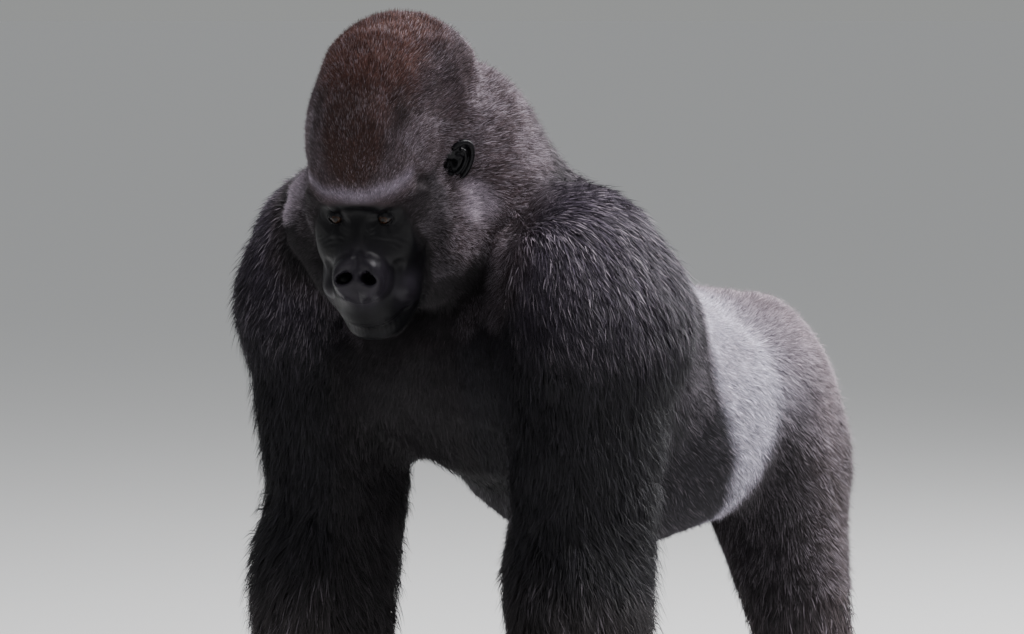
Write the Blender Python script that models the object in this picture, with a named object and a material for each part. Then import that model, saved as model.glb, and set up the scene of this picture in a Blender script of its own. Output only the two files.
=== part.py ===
"""A silverback western lowland gorilla at life size, standing still on its knuckles and soles.

Metres, +Z up. The animal faces -Y and its left side is +X. The origin is on the floor under the
middle of its bounding box. The surface is the outline of the coat, so it stands outside the skin.

The body is built as a sculptor would. Round masses for bone, muscle and gut are laid over each
other and melted into one skin. Small places on the face are then pressed in or raised. Last, the
skin is thinned to flat facets and parted where one would name its parts.
"""

import math

import bmesh
import bpy
import numpy as np
from mathutils import Matrix, Vector

# ---------------------------------------------------------------- driving dimensions
# While the body is built, x = y = 0 is midway between the shoulder joints.
SHOULDER = Vector((0.215, 0.0, 0.88))  # left shoulder joint
ELBOW = Vector((0.212, 0.02, 0.55))
WRIST = Vector((0.222, -0.035, 0.165))
HIP = Vector((0.125, 0.665, 0.665))  # left hip joint
KNEE = Vector((0.195, 0.665, 0.36))
ANKLE = Vector((0.19, 0.745, 0.095))
RIGHT_LEG_STEP = -0.085  # the right knee and foot stand this much nearer the head

HEAD_PLACE = Vector((-0.0199, -0.1677, 1.044))  # midway between the ears
HEAD_PITCH = math.radians(32)  # nose down
HEAD_TURN = math.radians(19)  # towards the animal's left
HEAD_SIZE = 1.027
EYE = Vector((0.0335, -0.1225, 0.004))  # left eye, in the head's own frame
EYE_RADIUS = 0.0125

GAP = 0.0003  # between neighbouring solids
SIDES = (("left", 1), ("right", -1))


# ---------------------------------------------------------------- laying and melting masses
def clear_scene():
    for obj in list(bpy.data.objects):
        bpy.data.objects.remove(obj, do_unlink=True)


def flip(point, side):
    """The same place on the given side: 1 is left, -1 is right."""
    return Vector((point[0] * side, point[1], point[2]))


def ball(bm, centre, radii, tip=0, frame=Matrix()):
    """An ellipsoid. tip leans it about X, in degrees."""
    spin = Matrix.Rotation(math.radians(tip), 4, "X")
    place = frame @ Matrix.Translation(centre) @ spin @ Matrix.Diagonal((*radii, 1))
    bmesh.ops.create_icosphere(bm, subdivisions=3, radius=1, matrix=place)


def limb(bm, stations, frame=Matrix()):
    """Round lengths through (point, radius) stations, with a ball at each joint."""
    for point, radius in stations:
        ball(bm, point, (radius,) * 3, frame=frame)
    for (start, r_start), (end, r_end) in zip(stations, stations[1:]):
        along = Vector(end) - Vector(start)
        turn = along.to_track_quat("Z", "Y").to_matrix().to_4x4()
        place = frame @ Matrix.Translation((Vector(start) + Vector(end)) / 2) @ turn
        bmesh.ops.create_cone(
            bm, segments=24, radius1=r_start, radius2=r_end, depth=along.length,
            cap_ends=True, matrix=place,
        )


def lay(bm, masses, side=1, frame=Matrix()):
    """Every (centre, radii, tip) mass of a named set, on one side of the body."""
    for centre, radii, tip in masses.values():
        ball(bm, flip(centre, side), radii, tip, frame)


def new_object(name, bm):
    mesh = bpy.data.meshes.new(name)
    bm.to_mesh(mesh)
    bm.free()
    obj = bpy.data.objects.new(name, mesh)
    bpy.context.scene.collection.objects.link(obj)
    return obj


def apply_modifiers(obj):
    graph = bpy.context.evaluated_depsgraph_get()
    mesh = bpy.data.meshes.new_from_object(obj.evaluated_get(graph))
    obj.modifiers.clear()
    obj.data = mesh
    return obj


def melt(obj, voxel, passes):
    """One closed skin round all of an object's masses, its creases eased by smoothing."""
    remesh = obj.modifiers.new("melt", "REMESH")
    remesh.mode = "VOXEL"
    remesh.voxel_size = voxel
    smooth = obj.modifiers.new("ease", "SMOOTH")
    smooth.factor = 0.5
    smooth.iterations = passes
    return apply_modifiers(obj)


def join(name, objects):
    bm = bmesh.new()
    for obj in objects:
        bm.from_mesh(obj.data)
        bpy.data.objects.remove(obj, do_unlink=True)
    return new_object(name, bm)


# ---------------------------------------------------------------- trunk and neck
TRUNK_MIDDLE = {
    "rib cage": ((0, 0.17, 0.785), (0.225, 0.28, 0.225), 0),
    "withers": ((0, 0.10, 0.93), (0.16, 0.20, 0.115), -8),
    "waist": ((0, 0.31, 0.705), (0.225, 0.22, 0.205), 0),
    "gut": ((0, 0.41, 0.665), (0.235, 0.26, 0.21), 0),
    "hanging belly": ((0, 0.41, 0.61), (0.205, 0.22, 0.175), 0),
    "loins": ((0, 0.46, 0.765), (0.165, 0.26, 0.105), -8),
    "pelvis": ((0, 0.655, 0.70), (0.170, 0.16, 0.138), 0),
    "middle of the back": ((0, 0.31, 0.835), (0.150, 0.20, 0.105), -10),
    "neck": ((0, -0.012, 1.052), (0.138, 0.148, 0.156), -20),
    "nape": ((0, 0.06, 0.99), (0.140, 0.18, 0.125), -22),
}
TRUNK_SIDES = {
    "shoulder blade": ((0.13, 0.075, 0.93), (0.120, 0.15, 0.100), 0),
    "breast muscle": ((0.085, -0.01, 0.77), (0.115, 0.09, 0.13), 0),
    "broad back muscle": ((0.170, 0.20, 0.76), (0.090, 0.21, 0.17), 0),
    "flank": ((0.15, 0.45, 0.64), (0.10, 0.21, 0.16), 0),
    "rump muscle": ((0.10, 0.69, 0.685), (0.117, 0.13, 0.150), 0),
    "neck muscle": ((0.080, 0.0, 1.00), (0.090, 0.13, 0.110), -20),
}


def add_trunk(bm):
    lay(bm, TRUNK_MIDDLE)
    for _, side in SIDES:
        lay(bm, TRUNK_SIDES, side)


# ---------------------------------------------------------------- arms and legs
ARM = {
    "shoulder top": ((0.200, 0.01, 0.905), (0.120, 0.145, 0.125), 0),
    "shoulder cap": ((0.235, 0.03, 0.815), (0.125, 0.172, 0.165), 0),
    "upper arm": ((0.217, 0.015, 0.68), (0.116, 0.130, 0.18), 0),
    "forearm": ((0.219, -0.01, 0.40), (0.116, 0.118, 0.19), 0),
}
LEG = {
    "thigh": ((0.15, 0.68, 0.56), (0.120, 0.140, 0.18), 0),
    "calf": ((0.192, 0.715, 0.25), (0.080, 0.090, 0.13), 15),
}
RIGHT_SHOULDER_LIFT = Vector((-0.012, 0.0, 0.016))
SHOULDER_RADIUS = 0.12
ELBOW_RADIUS = 0.113
FOREARM_RADIUS = 0.108  # where the hair is fullest, this share of the way to the wrist
FOREARM_FULLEST = 0.55
WRIST_RADIUS = 0.064
HIP_RADIUS = 0.13
THIGH_RADIUS = 0.108  # this share of the way to the knee
THIGH_FULLEST = 0.6
KNEE_RADIUS = 0.092
ANKLE_RADIUS = 0.056
THIGH_FOLLOWS = 0.3  # share of the right leg's step that its thigh takes


def add_arm(bm, side):
    lift = RIGHT_SHOULDER_LIFT if side < 0 else Vector()
    shoulder, elbow = flip(SHOULDER, side) + lift, flip(ELBOW, side) + lift / 2
    wrist = flip(WRIST, side)
    fullest = elbow.lerp(wrist, FOREARM_FULLEST)
    limb(bm, [(shoulder, SHOULDER_RADIUS), (elbow, ELBOW_RADIUS)])
    limb(bm, [(elbow, ELBOW_RADIUS), (fullest, FOREARM_RADIUS), (wrist, WRIST_RADIUS)])
    for centre, radii, tip in ARM.values():
        ball(bm, flip(centre, side) + lift, radii, tip)


def leg_step(side):
    return Vector((0, RIGHT_LEG_STEP if side < 0 else 0, 0))


def add_leg(bm, side):
    hip, knee, ankle = (flip(point, side) for point in (HIP, KNEE, ANKLE))
    knee += leg_step(side)
    ankle += leg_step(side)
    fullest = hip.lerp(knee, THIGH_FULLEST)
    limb(bm, [(hip, HIP_RADIUS), (fullest, THIGH_RADIUS), (knee, KNEE_RADIUS)])
    limb(bm, [(knee, KNEE_RADIUS), (ankle, ANKLE_RADIUS)])
    for name, (centre, radii, tip) in LEG.items():
        follow = leg_step(side) * (1 if name == "calf" else THIGH_FOLLOWS)
        ball(bm, flip(centre, side) + follow, radii, tip)


# ---------------------------------------------------------------- hands and feet
# A hand's frame is on the floor under its wrist; a foot's is under its ankle, toes towards -y.
PALM = [((0, 0, WRIST.z), 0.048), ((0, -0.008, 0.12), 0.046)]
BACK_OF_HAND = ((0, -0.01, 0.105), (0.057, 0.036, 0.055), 0)
FINGER_SPACING = 0.0275
FINGER_SPREAD = 1.04  # the fingers' spacing past the knuckles, as a share of that at them
FINGER_REACH = (0.0, 0.006, 0.005, -0.004)  # the middle fingers stand further out
KNUCKLE = (-0.018, 0.078, 0.0175)  # each joint of a finger as (y, z, radius)
FINGER_BEND = (-0.064, 0.032, 0.0165)
FINGER_PAD = (-0.018, 0.0145, 0.0155)
FINGERTIP = (0.006, 0.036, 0.0125)
THUMB = [
    ((-0.045, 0.0, 0.115), 0.019), ((-0.062, -0.012, 0.075), 0.0145),
    ((-0.060, -0.024, 0.048), 0.0125),
]

FOOT_TURN_OUT = math.radians(14)
SOLE = [
    ((0, 0.045, 0.034), 0.038), ((0, -0.03, 0.042), 0.042), ((0.012, -0.14, 0.030), 0.035),
]
FOOT_MASSES = {
    "instep": ((0, -0.005, 0.075), (0.048, 0.058, 0.06), 0),
    "ball of the foot": ((0.012, -0.12, 0.026), (0.053, 0.06, 0.031), 0),
}
TOE_OUTERMOST = 0.046
TOE_SPACING = 0.023
TOE_SPREAD = 1.05
TOE_REACH = (-0.012, 0.0, 0.004, 0.0)
TOE_ROOT = (-0.155, 0.026, 0.0155)  # each joint of a toe as (y, z, radius)
TOE_BEND = (-0.198, 0.024, 0.0135)
TOE_TIP = (-0.222, 0.0125, 0.0125)
GREAT_TOE = [
    ((-0.022, -0.06, 0.032), 0.027), ((-0.062, -0.125, 0.021), 0.021),
    ((-0.078, -0.165, 0.017), 0.0175),
]


def flip_stations(stations, side):
    return [(flip(point, side), radius) for point, radius in stations]


def digit_joint(joint, across, reach=0.0):
    y, z, radius = joint
    return (across, y - reach, z), radius


def add_hand(bm, side):
    """The hand rests on the backs of its middle finger bones, fingertips turned under."""
    frame = Matrix.Translation((side * WRIST.x, WRIST.y, 0))
    limb(bm, PALM, frame)
    ball(bm, *BACK_OF_HAND, frame)
    for finger, reach in enumerate(FINGER_REACH):
        across = side * (finger - 1.5) * FINGER_SPACING
        spread = across * FINGER_SPREAD
        knuckle = digit_joint(KNUCKLE, across)
        bend = digit_joint(FINGER_BEND, spread, reach)
        pad = digit_joint(FINGER_PAD, spread)
        limb(bm, [knuckle, bend, pad, digit_joint(FINGERTIP, across)], frame)
    limb(bm, flip_stations(THUMB, side), frame)


def add_foot(bm, side):
    """A flat sole with four short toes and a great toe that stands apart, as a thumb does."""
    place = flip((ANKLE.x, ANKLE.y, 0), side) + leg_step(side)
    frame = Matrix.Translation(place) @ Matrix.Rotation(side * FOOT_TURN_OUT, 4, "Z")
    limb(bm, flip_stations(SOLE, side), frame)
    lay(bm, FOOT_MASSES, side, frame)
    for toe, reach in enumerate(TOE_REACH):
        across = side * (TOE_OUTERMOST - toe * TOE_SPACING)
        spread = across * TOE_SPREAD
        bend, tip = (digit_joint(joint, spread, reach) for joint in (TOE_BEND, TOE_TIP))
        limb(bm, [digit_joint(TOE_ROOT, across), bend, tip], frame)
    limb(bm, flip_stations(GREAT_TOE, side), frame)


# ---------------------------------------------------------------- head
# In the head's own frame: x to its left, -y to the nose, z up, origin midway between the ears.
HEAD_MIDDLE = {
    "brain case": ((-0.004, 0.02, 0.074), (0.092, 0.125, 0.102), 0),
    "crest": ((0.002, 0.054, 0.108), (0.088, 0.138, 0.083), -8),
    "back of the head": ((0.017, 0.105, 0.064), (0.114, 0.118, 0.110), -12),
    "forehead": ((-0.003, -0.038, 0.076), (0.081, 0.098, 0.092), 0),
    "middle of the face": ((0, -0.03, -0.03), (0.084, 0.092, 0.10), 0),
    "throat": ((0, 0.0, -0.12), (0.09, 0.10, 0.09), 0),
    "brow shelf": ((0, -0.088, 0.058), (0.080, 0.058, 0.040), 0),
    "eye region": ((0, -0.090, -0.008), (0.075, 0.059, 0.064), 0),
    "nose root": ((0, -0.126, -0.054), (0.050, 0.048, 0.050), 0),
    "muzzle": ((0, -0.118, -0.095), (0.060, 0.076, 0.062), 0),
    "chin": ((0, -0.112, -0.158), (0.054, 0.052, 0.046), 0),
    "bunched neck": ((0.088, 0.068, 0.052), (0.050, 0.080, 0.062), 0),  # on the side it turns to
}
HEAD_SIDES = {
    "temple": ((0.044, 0.0, 0.050), (0.054, 0.096, 0.094), 0),
    "cheek": ((0.056, -0.034, -0.045), (0.050, 0.064, 0.074), 0),
    "cheekbone": ((0.052, -0.078, -0.018), (0.041, 0.050, 0.042), 0),
    "under the eye": ((0.032, -0.106, -0.052), (0.043, 0.046, 0.046), 0),
    "muzzle side": ((0.036, -0.098, -0.114), (0.040, 0.061, 0.050), 0),
    "jaw muscle": ((0.084, 0.006, -0.086), (0.068, 0.088, 0.078), 0),
    "jowl": ((0.055, -0.016, -0.127), (0.066, 0.087, 0.081), 0),
}
LIPS = {
    "upper lip": ((0, -0.148, -0.126), (0.047, 0.042, 0.030), 0),
    "lower lip": ((0, -0.134, -0.166), (0.043, 0.038, 0.022), 0),
}
BROW = [
    ((0.079, -0.076, 0.010), 0.0115), ((0.067, -0.104, 0.028), 0.0150),
    ((0.040, -0.128, 0.042), 0.0175),
]
BROW_MIDDLE = ((0, -0.134, 0.043), 0.0175)
BRIDGE = [((0, -0.134, 0.004), 0.014), ((0, -0.150, -0.024), 0.017), ((0, -0.168, -0.056), 0.022)]
NOSE_TIP = ((0, -0.190, -0.056), (0.011, 0.014, 0.018), 20)
NOSE_WING = ((0.0180, -0.173, -0.064), (0.0215, 0.030, 0.036), 0)
NOSTRIL = Vector((0.0142, -0.199, -0.046))  # mouth of the left nostril
NOSTRIL_HALF_SIZE = (0.0090, 0.0165, 0.0092)


def head_frame():
    turn = Matrix.Rotation(HEAD_TURN, 4, "Z") @ Matrix.Rotation(HEAD_PITCH, 4, "X")
    return Matrix.Translation(HEAD_PLACE) @ turn @ Matrix.Scale(HEAD_SIZE, 4)


def add_head(bm, frame):
    lay(bm, HEAD_MIDDLE, frame=frame)
    for _, side in SIDES:
        lay(bm, HEAD_SIDES, side, frame)


def add_features(bm, frame):
    """The crisp forms of the face: brow ridge, nose and lips."""
    lay(bm, LIPS, frame=frame)
    limb(bm, BRIDGE, frame)
    ball(bm, *NOSE_TIP, frame)
    for _, side in SIDES:
        limb(bm, flip_stations(BROW, side) + [BROW_MIDDLE], frame)
        centre, radii, tip = NOSE_WING
        ball(bm, flip(centre, side), radii, tip, frame)


# (voxel, smoothing passes) for each melt: broad masses are eased a lot, the face a little, and
# hands and feet hardly at all.
TRUNK_MELT = (0.012, 60)
LIMBS_MELT = (0.012, 30)
BODY_MELT = (0.010, 22)
HEAD_MELT = (0.005, 22)
FEATURES_MELT = (0.0035, 6)
FACE_MELT = (0.0035, 10)
ENDS_MELT = (0.0035, 4)
LAST_MELT = (0.0045, 5)


def build_body():
    """The masses melt in groups first, then together."""
    trunk, limbs, head, features, ends = (bmesh.new() for _ in range(5))
    add_trunk(trunk)
    add_head(head, head_frame())
    add_features(features, head_frame())
    for _, side in SIDES:
        add_arm(limbs, side)
        add_leg(limbs, side)
        add_hand(ends, side)
        add_foot(ends, side)
    trunk = melt(new_object("trunk", trunk), *TRUNK_MELT)
    limbs = melt(new_object("limbs", limbs), *LIMBS_MELT)
    body = melt(join("body", [trunk, limbs]), *BODY_MELT)
    head = melt(new_object("head", head), *HEAD_MELT)
    features = melt(new_object("features", features), *FEATURES_MELT)
    head = melt(join("head", [head, features]), *FACE_MELT)
    ends = melt(new_object("ends", ends), *ENDS_MELT)
    return melt(join("gorilla", [body, head, ends]), *LAST_MELT)


# ---------------------------------------------------------------- small places on the face
# (place, reach, push) in the head's own frame. Each left-side place has a right-side twin.
STROKES = {
    "eye hollow": ((0.034, -0.140, 0.004), 0.020, (0, 0.006, 0)),
    "between the eyes": ((0, -0.148, 0.022), 0.022, (0, 0.006, 0)),
    "groove over the nose": ((0, -0.196, -0.040), 0.012, (0, 0.005, -0.002)),
    "side of the nose": ((0.043, -0.168, -0.068), 0.015, (0, 0.006, 0)),
    "under the lip": ((0, -0.168, -0.186), 0.014, (0, 0.004, 0)),
}
MOUTH_MIDDLE = Vector((0, -0.178, -0.150))
MOUTH_CORNER = Vector((0.058, -0.132, -0.142))
MOUTH_REACH = 0.0085
MOUTH_DEPTH = 0.006
MOUTH_STEPS = 12


def face_strokes():
    for place, reach, push in STROKES.values():
        for side in (1, -1) if place[0] else (1,):
            yield flip(place, side), reach, flip(push, side)
    for step in range(MOUTH_STEPS + 1):
        across = 2 * step / MOUTH_STEPS - 1
        place = MOUTH_MIDDLE.lerp(MOUTH_CORNER, across**2)
        place.x = MOUTH_CORNER.x * across
        yield place, MOUTH_REACH, Vector((0, MOUTH_DEPTH * (1 - 0.5 * across**2), 0))


def press(obj, frame):
    """Moves the skin near each stroke, most at its middle and not at all past its reach."""
    points = np.empty(len(obj.data.vertices) * 3, np.float32)
    obj.data.vertices.foreach_get("co", points)
    points = points.reshape(-1, 3)
    for place, reach, push in face_strokes():
        centre = np.array(frame @ place)
        shift = np.array(frame.to_3x3() @ push)
        near = np.linalg.norm(points - centre, axis=1) / (reach * HEAD_SIZE)
        points += np.clip(1 - near**2, 0, 1)[:, None] ** 2 * shift
    obj.data.vertices.foreach_set("co", points.ravel())
    obj.data.update()


# ---------------------------------------------------------------- thinning to facets
# Triangles kept in each zone. "rest" is what the other zones do not hold.
FACE_BOX = (0.100, -0.03, 0.215)  # half width, back edge and half height, in the head's frame
HANDS_TOP = 0.15
FEET_TOP = 0.10
ZONES = {"face": 1900, "hands": 840, "feet": 600, "rest": 1850}


def zone_of(point, into_head):
    local = into_head @ point
    half_width, back, half_height = FACE_BOX
    if local.y < back and abs(local.x) < half_width and abs(local.z) < half_height:
        return "face"
    if point.z < HANDS_TOP and point.y < ABDOMEN_END / 2:
        return "hands"
    if point.z < FEET_TOP:
        return "feet"
    return "rest"


def thin(obj):
    """Thins one zone at a time, holding the others still, so that small parts keep their form."""
    into_head = head_frame().inverted()
    for zone, keep in ZONES.items():
        mesh = obj.data
        inside = [v.index for v in mesh.vertices if zone_of(v.co, into_head) == zone]
        obj.vertex_groups.clear()
        group = obj.vertex_groups.new(name=zone)
        group.add(inside, 1.0, "REPLACE")
        faces_inside = 2 * len(inside)
        triangles = sum(len(face.vertices) - 2 for face in mesh.polygons)
        decimate = obj.modifiers.new("thin", "DECIMATE")
        decimate.ratio = (triangles - faces_inside + keep) / triangles
        decimate.use_collapse_triangulate = True
        decimate.vertex_group = zone
        apply_modifiers(obj)
    obj.vertex_groups.clear()
    return obj


# ---------------------------------------------------------------- cutting
def boolean(obj, other, operation):
    cut = obj.modifiers.new(operation.lower(), "BOOLEAN")
    cut.operation = operation
    cut.solver = "EXACT"
    cut.object = other
    return apply_modifiers(obj)


def remove(obj):
    bpy.data.objects.remove(obj, do_unlink=True)


def copy_of(obj, name):
    twin = bpy.data.objects.new(name, obj.data.copy())
    bpy.context.scene.collection.objects.link(twin)
    return twin


def keep_largest_body(obj):
    """Deletes the crumbs a cut leaves beside the main body."""
    bm = bmesh.new()
    bm.from_mesh(obj.data)
    waiting, bodies = set(bm.verts), []
    while waiting:
        body, edge = set(), {waiting.pop()}
        while edge:
            body |= edge
            edge = {link.other_vert(vert) for vert in edge for link in vert.link_edges} - body
        waiting -= body
        bodies.append(body)
    crumbs = [vert for body in sorted(bodies, key=len)[:-1] for vert in body]
    bmesh.ops.delete(bm, geom=crumbs, context="VERTS")
    bm.to_mesh(obj.data)
    bm.free()
    return obj


def slab(x, y, z):
    """The corners of a box, each axis given as (low, high)."""
    return [(a, b, c) for a in x for b in y for c in z]


def block(points, frame=Matrix(), grow=0.0):
    """The tightest flat-sided block round some points, its sides moved out by grow."""
    bm = bmesh.new()
    for point in points:
        bm.verts.new(frame @ Vector(point))
    bmesh.ops.convex_hull(bm, input=bm.verts)
    bmesh.ops.dissolve_limit(bm, angle_limit=0.001, verts=bm.verts, edges=bm.edges)
    loose = [vert for vert in bm.verts if not vert.link_faces]
    bmesh.ops.delete(bm, geom=loose, context="VERTS")
    bmesh.ops.recalc_face_normals(bm, faces=bm.faces)
    for vert in bm.verts:
        normals = np.array([face.normal for face in vert.link_faces])
        push = np.linalg.lstsq(normals, np.full(len(normals), grow), rcond=None)[0]
        vert.co += Vector(push)
    return new_object("block", bm)


def part_off(body, name, points, frame=Matrix()):
    """Makes what the block holds a solid of its own, with a thin gap to what is left."""
    piece = copy_of(body, name)
    exact, grown = block(points, frame), block(points, frame, GAP)
    boolean(piece, exact, "INTERSECT")
    boolean(body, grown, "DIFFERENCE")
    remove(exact)
    remove(grown)
    return piece


FAR = 1.5  # past every outline
ARM_SPAN = (0.05, 0.46)  # across, on the left
HAND_DEPTH = (-0.3, 0.16)  # front to back
FOREARM_SPAN = (0.04, 0.46)
FOREARM_DEPTH = (-0.3, 0.165)
LEG_SPAN = (0.01, 0.46)
LEG_DEPTH = (0.3, FAR)
FOOT_PARTING = 0.088
CHEST_END = 0.30
ABDOMEN_END = 0.54
HEAD_BLOCK = [
    (x, y, z) for x in (-0.17, 0.17)
    for y, z in ((-0.35, -0.215), (0.01, -0.215), (0.18, 0.30), (-0.35, 0.30))
]
NECK_BLOCK = [
    (x, y, z) for x in (-0.17, 0.17)
    for y, z in ((-FAR, 0.87), (-0.03, 0.87), (0.13, 1.06), (0.13, FAR), (-FAR, FAR))
]
LIMB_BLOCKS = {  # from the floor up
    "hand": slab(ARM_SPAN, HAND_DEPTH, (-FAR, WRIST.z)),
    "forearm": slab(FOREARM_SPAN, FOREARM_DEPTH, (-FAR, ELBOW.z)),
    "upper_arm": (
        slab((0.045, 0.46), (-0.30, 0.165), (0.54, 0.60))
        + slab((0.105, 0.46), (-0.30, 0.215), (0.80, 0.90))
        + slab((0.175, 0.46), (-0.16, 0.19), (1.12, 1.12))
    ),
    "foot": slab(LEG_SPAN, LEG_DEPTH, (-FAR, FOOT_PARTING)),
    "shin": slab(LEG_SPAN, LEG_DEPTH, (-FAR, KNEE.z)),
    "thigh": (
        slab((0.01, 0.46), (0.40, FAR), (0.355, 0.50))
        + slab((0.03, 0.46), (0.50, FAR), (0.56, 0.56))
        + slab((0.17, 0.46), (0.62, 0.80), (0.80, 0.80))
    ),
}


def part_body(body):
    """Parts the joined body from its ends inwards; the hips are what is left."""
    pieces = []
    for name, side in SIDES:
        for part, points in LIMB_BLOCKS.items():
            mirrored = [flip(point, side) for point in points]
            pieces.append(part_off(body, f"{part}_{name}", mirrored))
    pieces.append(part_off(body, "head", HEAD_BLOCK, head_frame()))
    pieces.append(part_off(body, "neck", NECK_BLOCK))
    pieces.append(part_off(body, "chest", slab((-1, 1), (-FAR, CHEST_END), (0, FAR))))
    pieces.append(part_off(body, "abdomen", slab((-1, 1), (CHEST_END, ABDOMEN_END), (0, FAR))))
    body.name = "hips"
    return pieces + [body]


# ---------------------------------------------------------------- ears and eyes
EAR_PLACES = {"left": Vector((0.107, 0.009, 0.008)), "right": Vector((-0.078, 0.050, 0.000))}
EAR_FLARE = math.radians(60)  # the back edge stands this far off the head
EAR_TIP_BACK = math.radians(30)
EAR_HALF_SIZE = (0.0190, 0.0300)  # front to back, and up
EAR_RIM_RADIUS = 0.0052
EAR_RIM_START = math.radians(135)  # round the disc, from the front over the top
EAR_RIM_SWEEP = math.radians(255)
EAR_RIM_STEPS = 14
EAR_RIM_OUT = 0.007  # the rim stands this far before the disc
EAR_DISC_HALF_THICKNESS = 0.0055
EAR_MASSES = {
    "front flap": ((0.004, -0.012, -0.006), (0.007, 0.005, 0.009), 0),
    "lobe": ((0.006, 0.002, -0.030), (0.005, 0.008, 0.008), 0),
    "root": ((-0.012, -0.004, 0), (0.016, 0.012, 0.024), 0),
}
EAR_MELT = (0.0022, 3)
EAR_TRIANGLES = 200


def add_ear(bm, frame):
    """A rolled rim that runs from the front over the top and down to a small lobe."""
    rim = []
    for step in range(EAR_RIM_STEPS + 1):
        turn = EAR_RIM_START - EAR_RIM_SWEEP * step / EAR_RIM_STEPS
        back, up = EAR_HALF_SIZE[0] * math.cos(turn), EAR_HALF_SIZE[1] * math.sin(turn)
        rim.append(((EAR_RIM_OUT, back, up), EAR_RIM_RADIUS))
    limb(bm, rim, frame)
    ball(bm, (0, 0, 0), (EAR_DISC_HALF_THICKNESS, *EAR_HALF_SIZE), frame=frame)
    lay(bm, EAR_MASSES, frame=frame)


def make_ear(name, side, head):
    """The ear stops a thin gap short of the head."""
    flare = Matrix.Rotation(-side * EAR_FLARE, 4, "Z")
    lean = Matrix.Rotation(-EAR_TIP_BACK, 4, "X")
    mirror = Matrix.Diagonal((side, 1, 1, 1))
    bm = bmesh.new()
    place = head_frame() @ Matrix.Translation(EAR_PLACES[name])
    add_ear(bm, place @ flare @ lean @ mirror)
    bmesh.ops.recalc_face_normals(bm, faces=bm.faces)
    ear = melt(new_object(f"ear_{name}", bm), *EAR_MELT)
    thin_ear = ear.modifiers.new("thin", "DECIMATE")
    thin_ear.ratio = EAR_TRIANGLES / (2 * len(ear.data.vertices))
    thin_ear.use_collapse_triangulate = True
    apply_modifiers(ear)
    skin = copy_of(head, "skin")
    swell = skin.modifiers.new("swell", "DISPLACE")
    swell.strength = 2 * GAP
    swell.mid_level = 0
    apply_modifiers(skin)
    boolean(ear, skin, "DIFFERENCE")
    remove(skin)
    return keep_largest_body(ear)


def cut_nostril(side, head):
    bm = bmesh.new()
    shape = Matrix.Translation(flip(NOSTRIL, side)) @ Matrix.Diagonal((*NOSTRIL_HALF_SIZE, 1))
    bmesh.ops.create_uvsphere(
        bm, u_segments=14, v_segments=8, radius=1, matrix=head_frame() @ shape,
    )
    pit = new_object("nostril", bm)
    boolean(head, pit, "DIFFERENCE")
    remove(pit)


def make_eye(name, side, head):
    """A whole eyeball, in a socket a thin gap wider than itself."""
    place = head_frame() @ Matrix.Translation(flip(EYE, side))
    solids = []
    for radius in (EYE_RADIUS, EYE_RADIUS + GAP / HEAD_SIZE):
        bm = bmesh.new()
        bmesh.ops.create_uvsphere(bm, u_segments=16, v_segments=8, radius=radius, matrix=place)
        solids.append(new_object(f"eye_{name}", bm))
    eye, socket = solids
    boolean(head, socket, "DIFFERENCE")
    remove(socket)
    return eye


# ---------------------------------------------------------------- finishes
# (colour, roughness)
FINISHES = {
    "brown_coat": ((0.060, 0.036, 0.026), 0.75),
    "black_coat": ((0.018, 0.016, 0.018), 0.75),
    "silver_coat": ((0.20, 0.195, 0.205), 0.75),
    "grey_coat": ((0.085, 0.075, 0.074), 0.75),
    "black_skin": ((0.012, 0.011, 0.012), 0.45),
    "eye": ((0.020, 0.010, 0.006), 0.08),
}
FINISH_OF = {
    "head": "brown_coat", "neck": "brown_coat", "chest": "black_coat", "abdomen": "silver_coat",
    "hips": "silver_coat", "thigh": "grey_coat", "shin": "grey_coat", "upper": "black_coat",
    "forearm": "black_coat", "hand": "black_skin", "foot": "black_skin", "ear": "black_skin",
    "eye": "eye",
}


def make_finishes():
    finishes = {}
    for name, (colour, roughness) in FINISHES.items():
        finish = bpy.data.materials.new(name)
        finish.use_nodes = True
        shader = finish.node_tree.nodes["Principled BSDF"]
        shader.inputs["Base Color"].default_value = (*colour, 1)
        shader.inputs["Roughness"].default_value = roughness
        shader.inputs["Metallic"].default_value = 0
        finishes[name] = finish
    return finishes


def finish_nodes(nodes):
    """Gives each solid its finish and shading, and centres the whole on the floor."""
    finishes = make_finishes()
    points = [vert.co for node in nodes for vert in node.data.vertices]
    low = Vector([min(point[axis] for point in points) for axis in range(3)])
    high = Vector([max(point[axis] for point in points) for axis in range(3)])
    centring = Matrix.Translation((-(low.x + high.x) / 2, -(low.y + high.y) / 2, 0))
    for node in nodes:
        node.data.transform(centring)
        node.data.materials.clear()
        node.data.materials.append(finishes[FINISH_OF[node.name.split("_")[0]]])
        node.data.shade_smooth()
        node.data.set_sharp_from_angle(angle=math.radians(50))


def build():
    clear_scene()
    gorilla = build_body()
    press(gorilla, head_frame())
    thin(gorilla)
    floor = block(slab((-1, 1), (-1, FAR), (-1, 0)))
    boolean(gorilla, floor, "DIFFERENCE")
    remove(floor)
    nodes = part_body(gorilla)
    head = next(node for node in nodes if node.name == "head")
    for name, side in SIDES:
        nodes.append(make_ear(name, side, head))
    for name, side in SIDES:
        cut_nostril(side, head)
        nodes.append(make_eye(name, side, head))
    finish_nodes(nodes)


build()
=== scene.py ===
import math

import bmesh
import bpy
import numpy as np
from mathutils import Matrix, Vector
from mathutils.bvhtree import BVHTree


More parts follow.
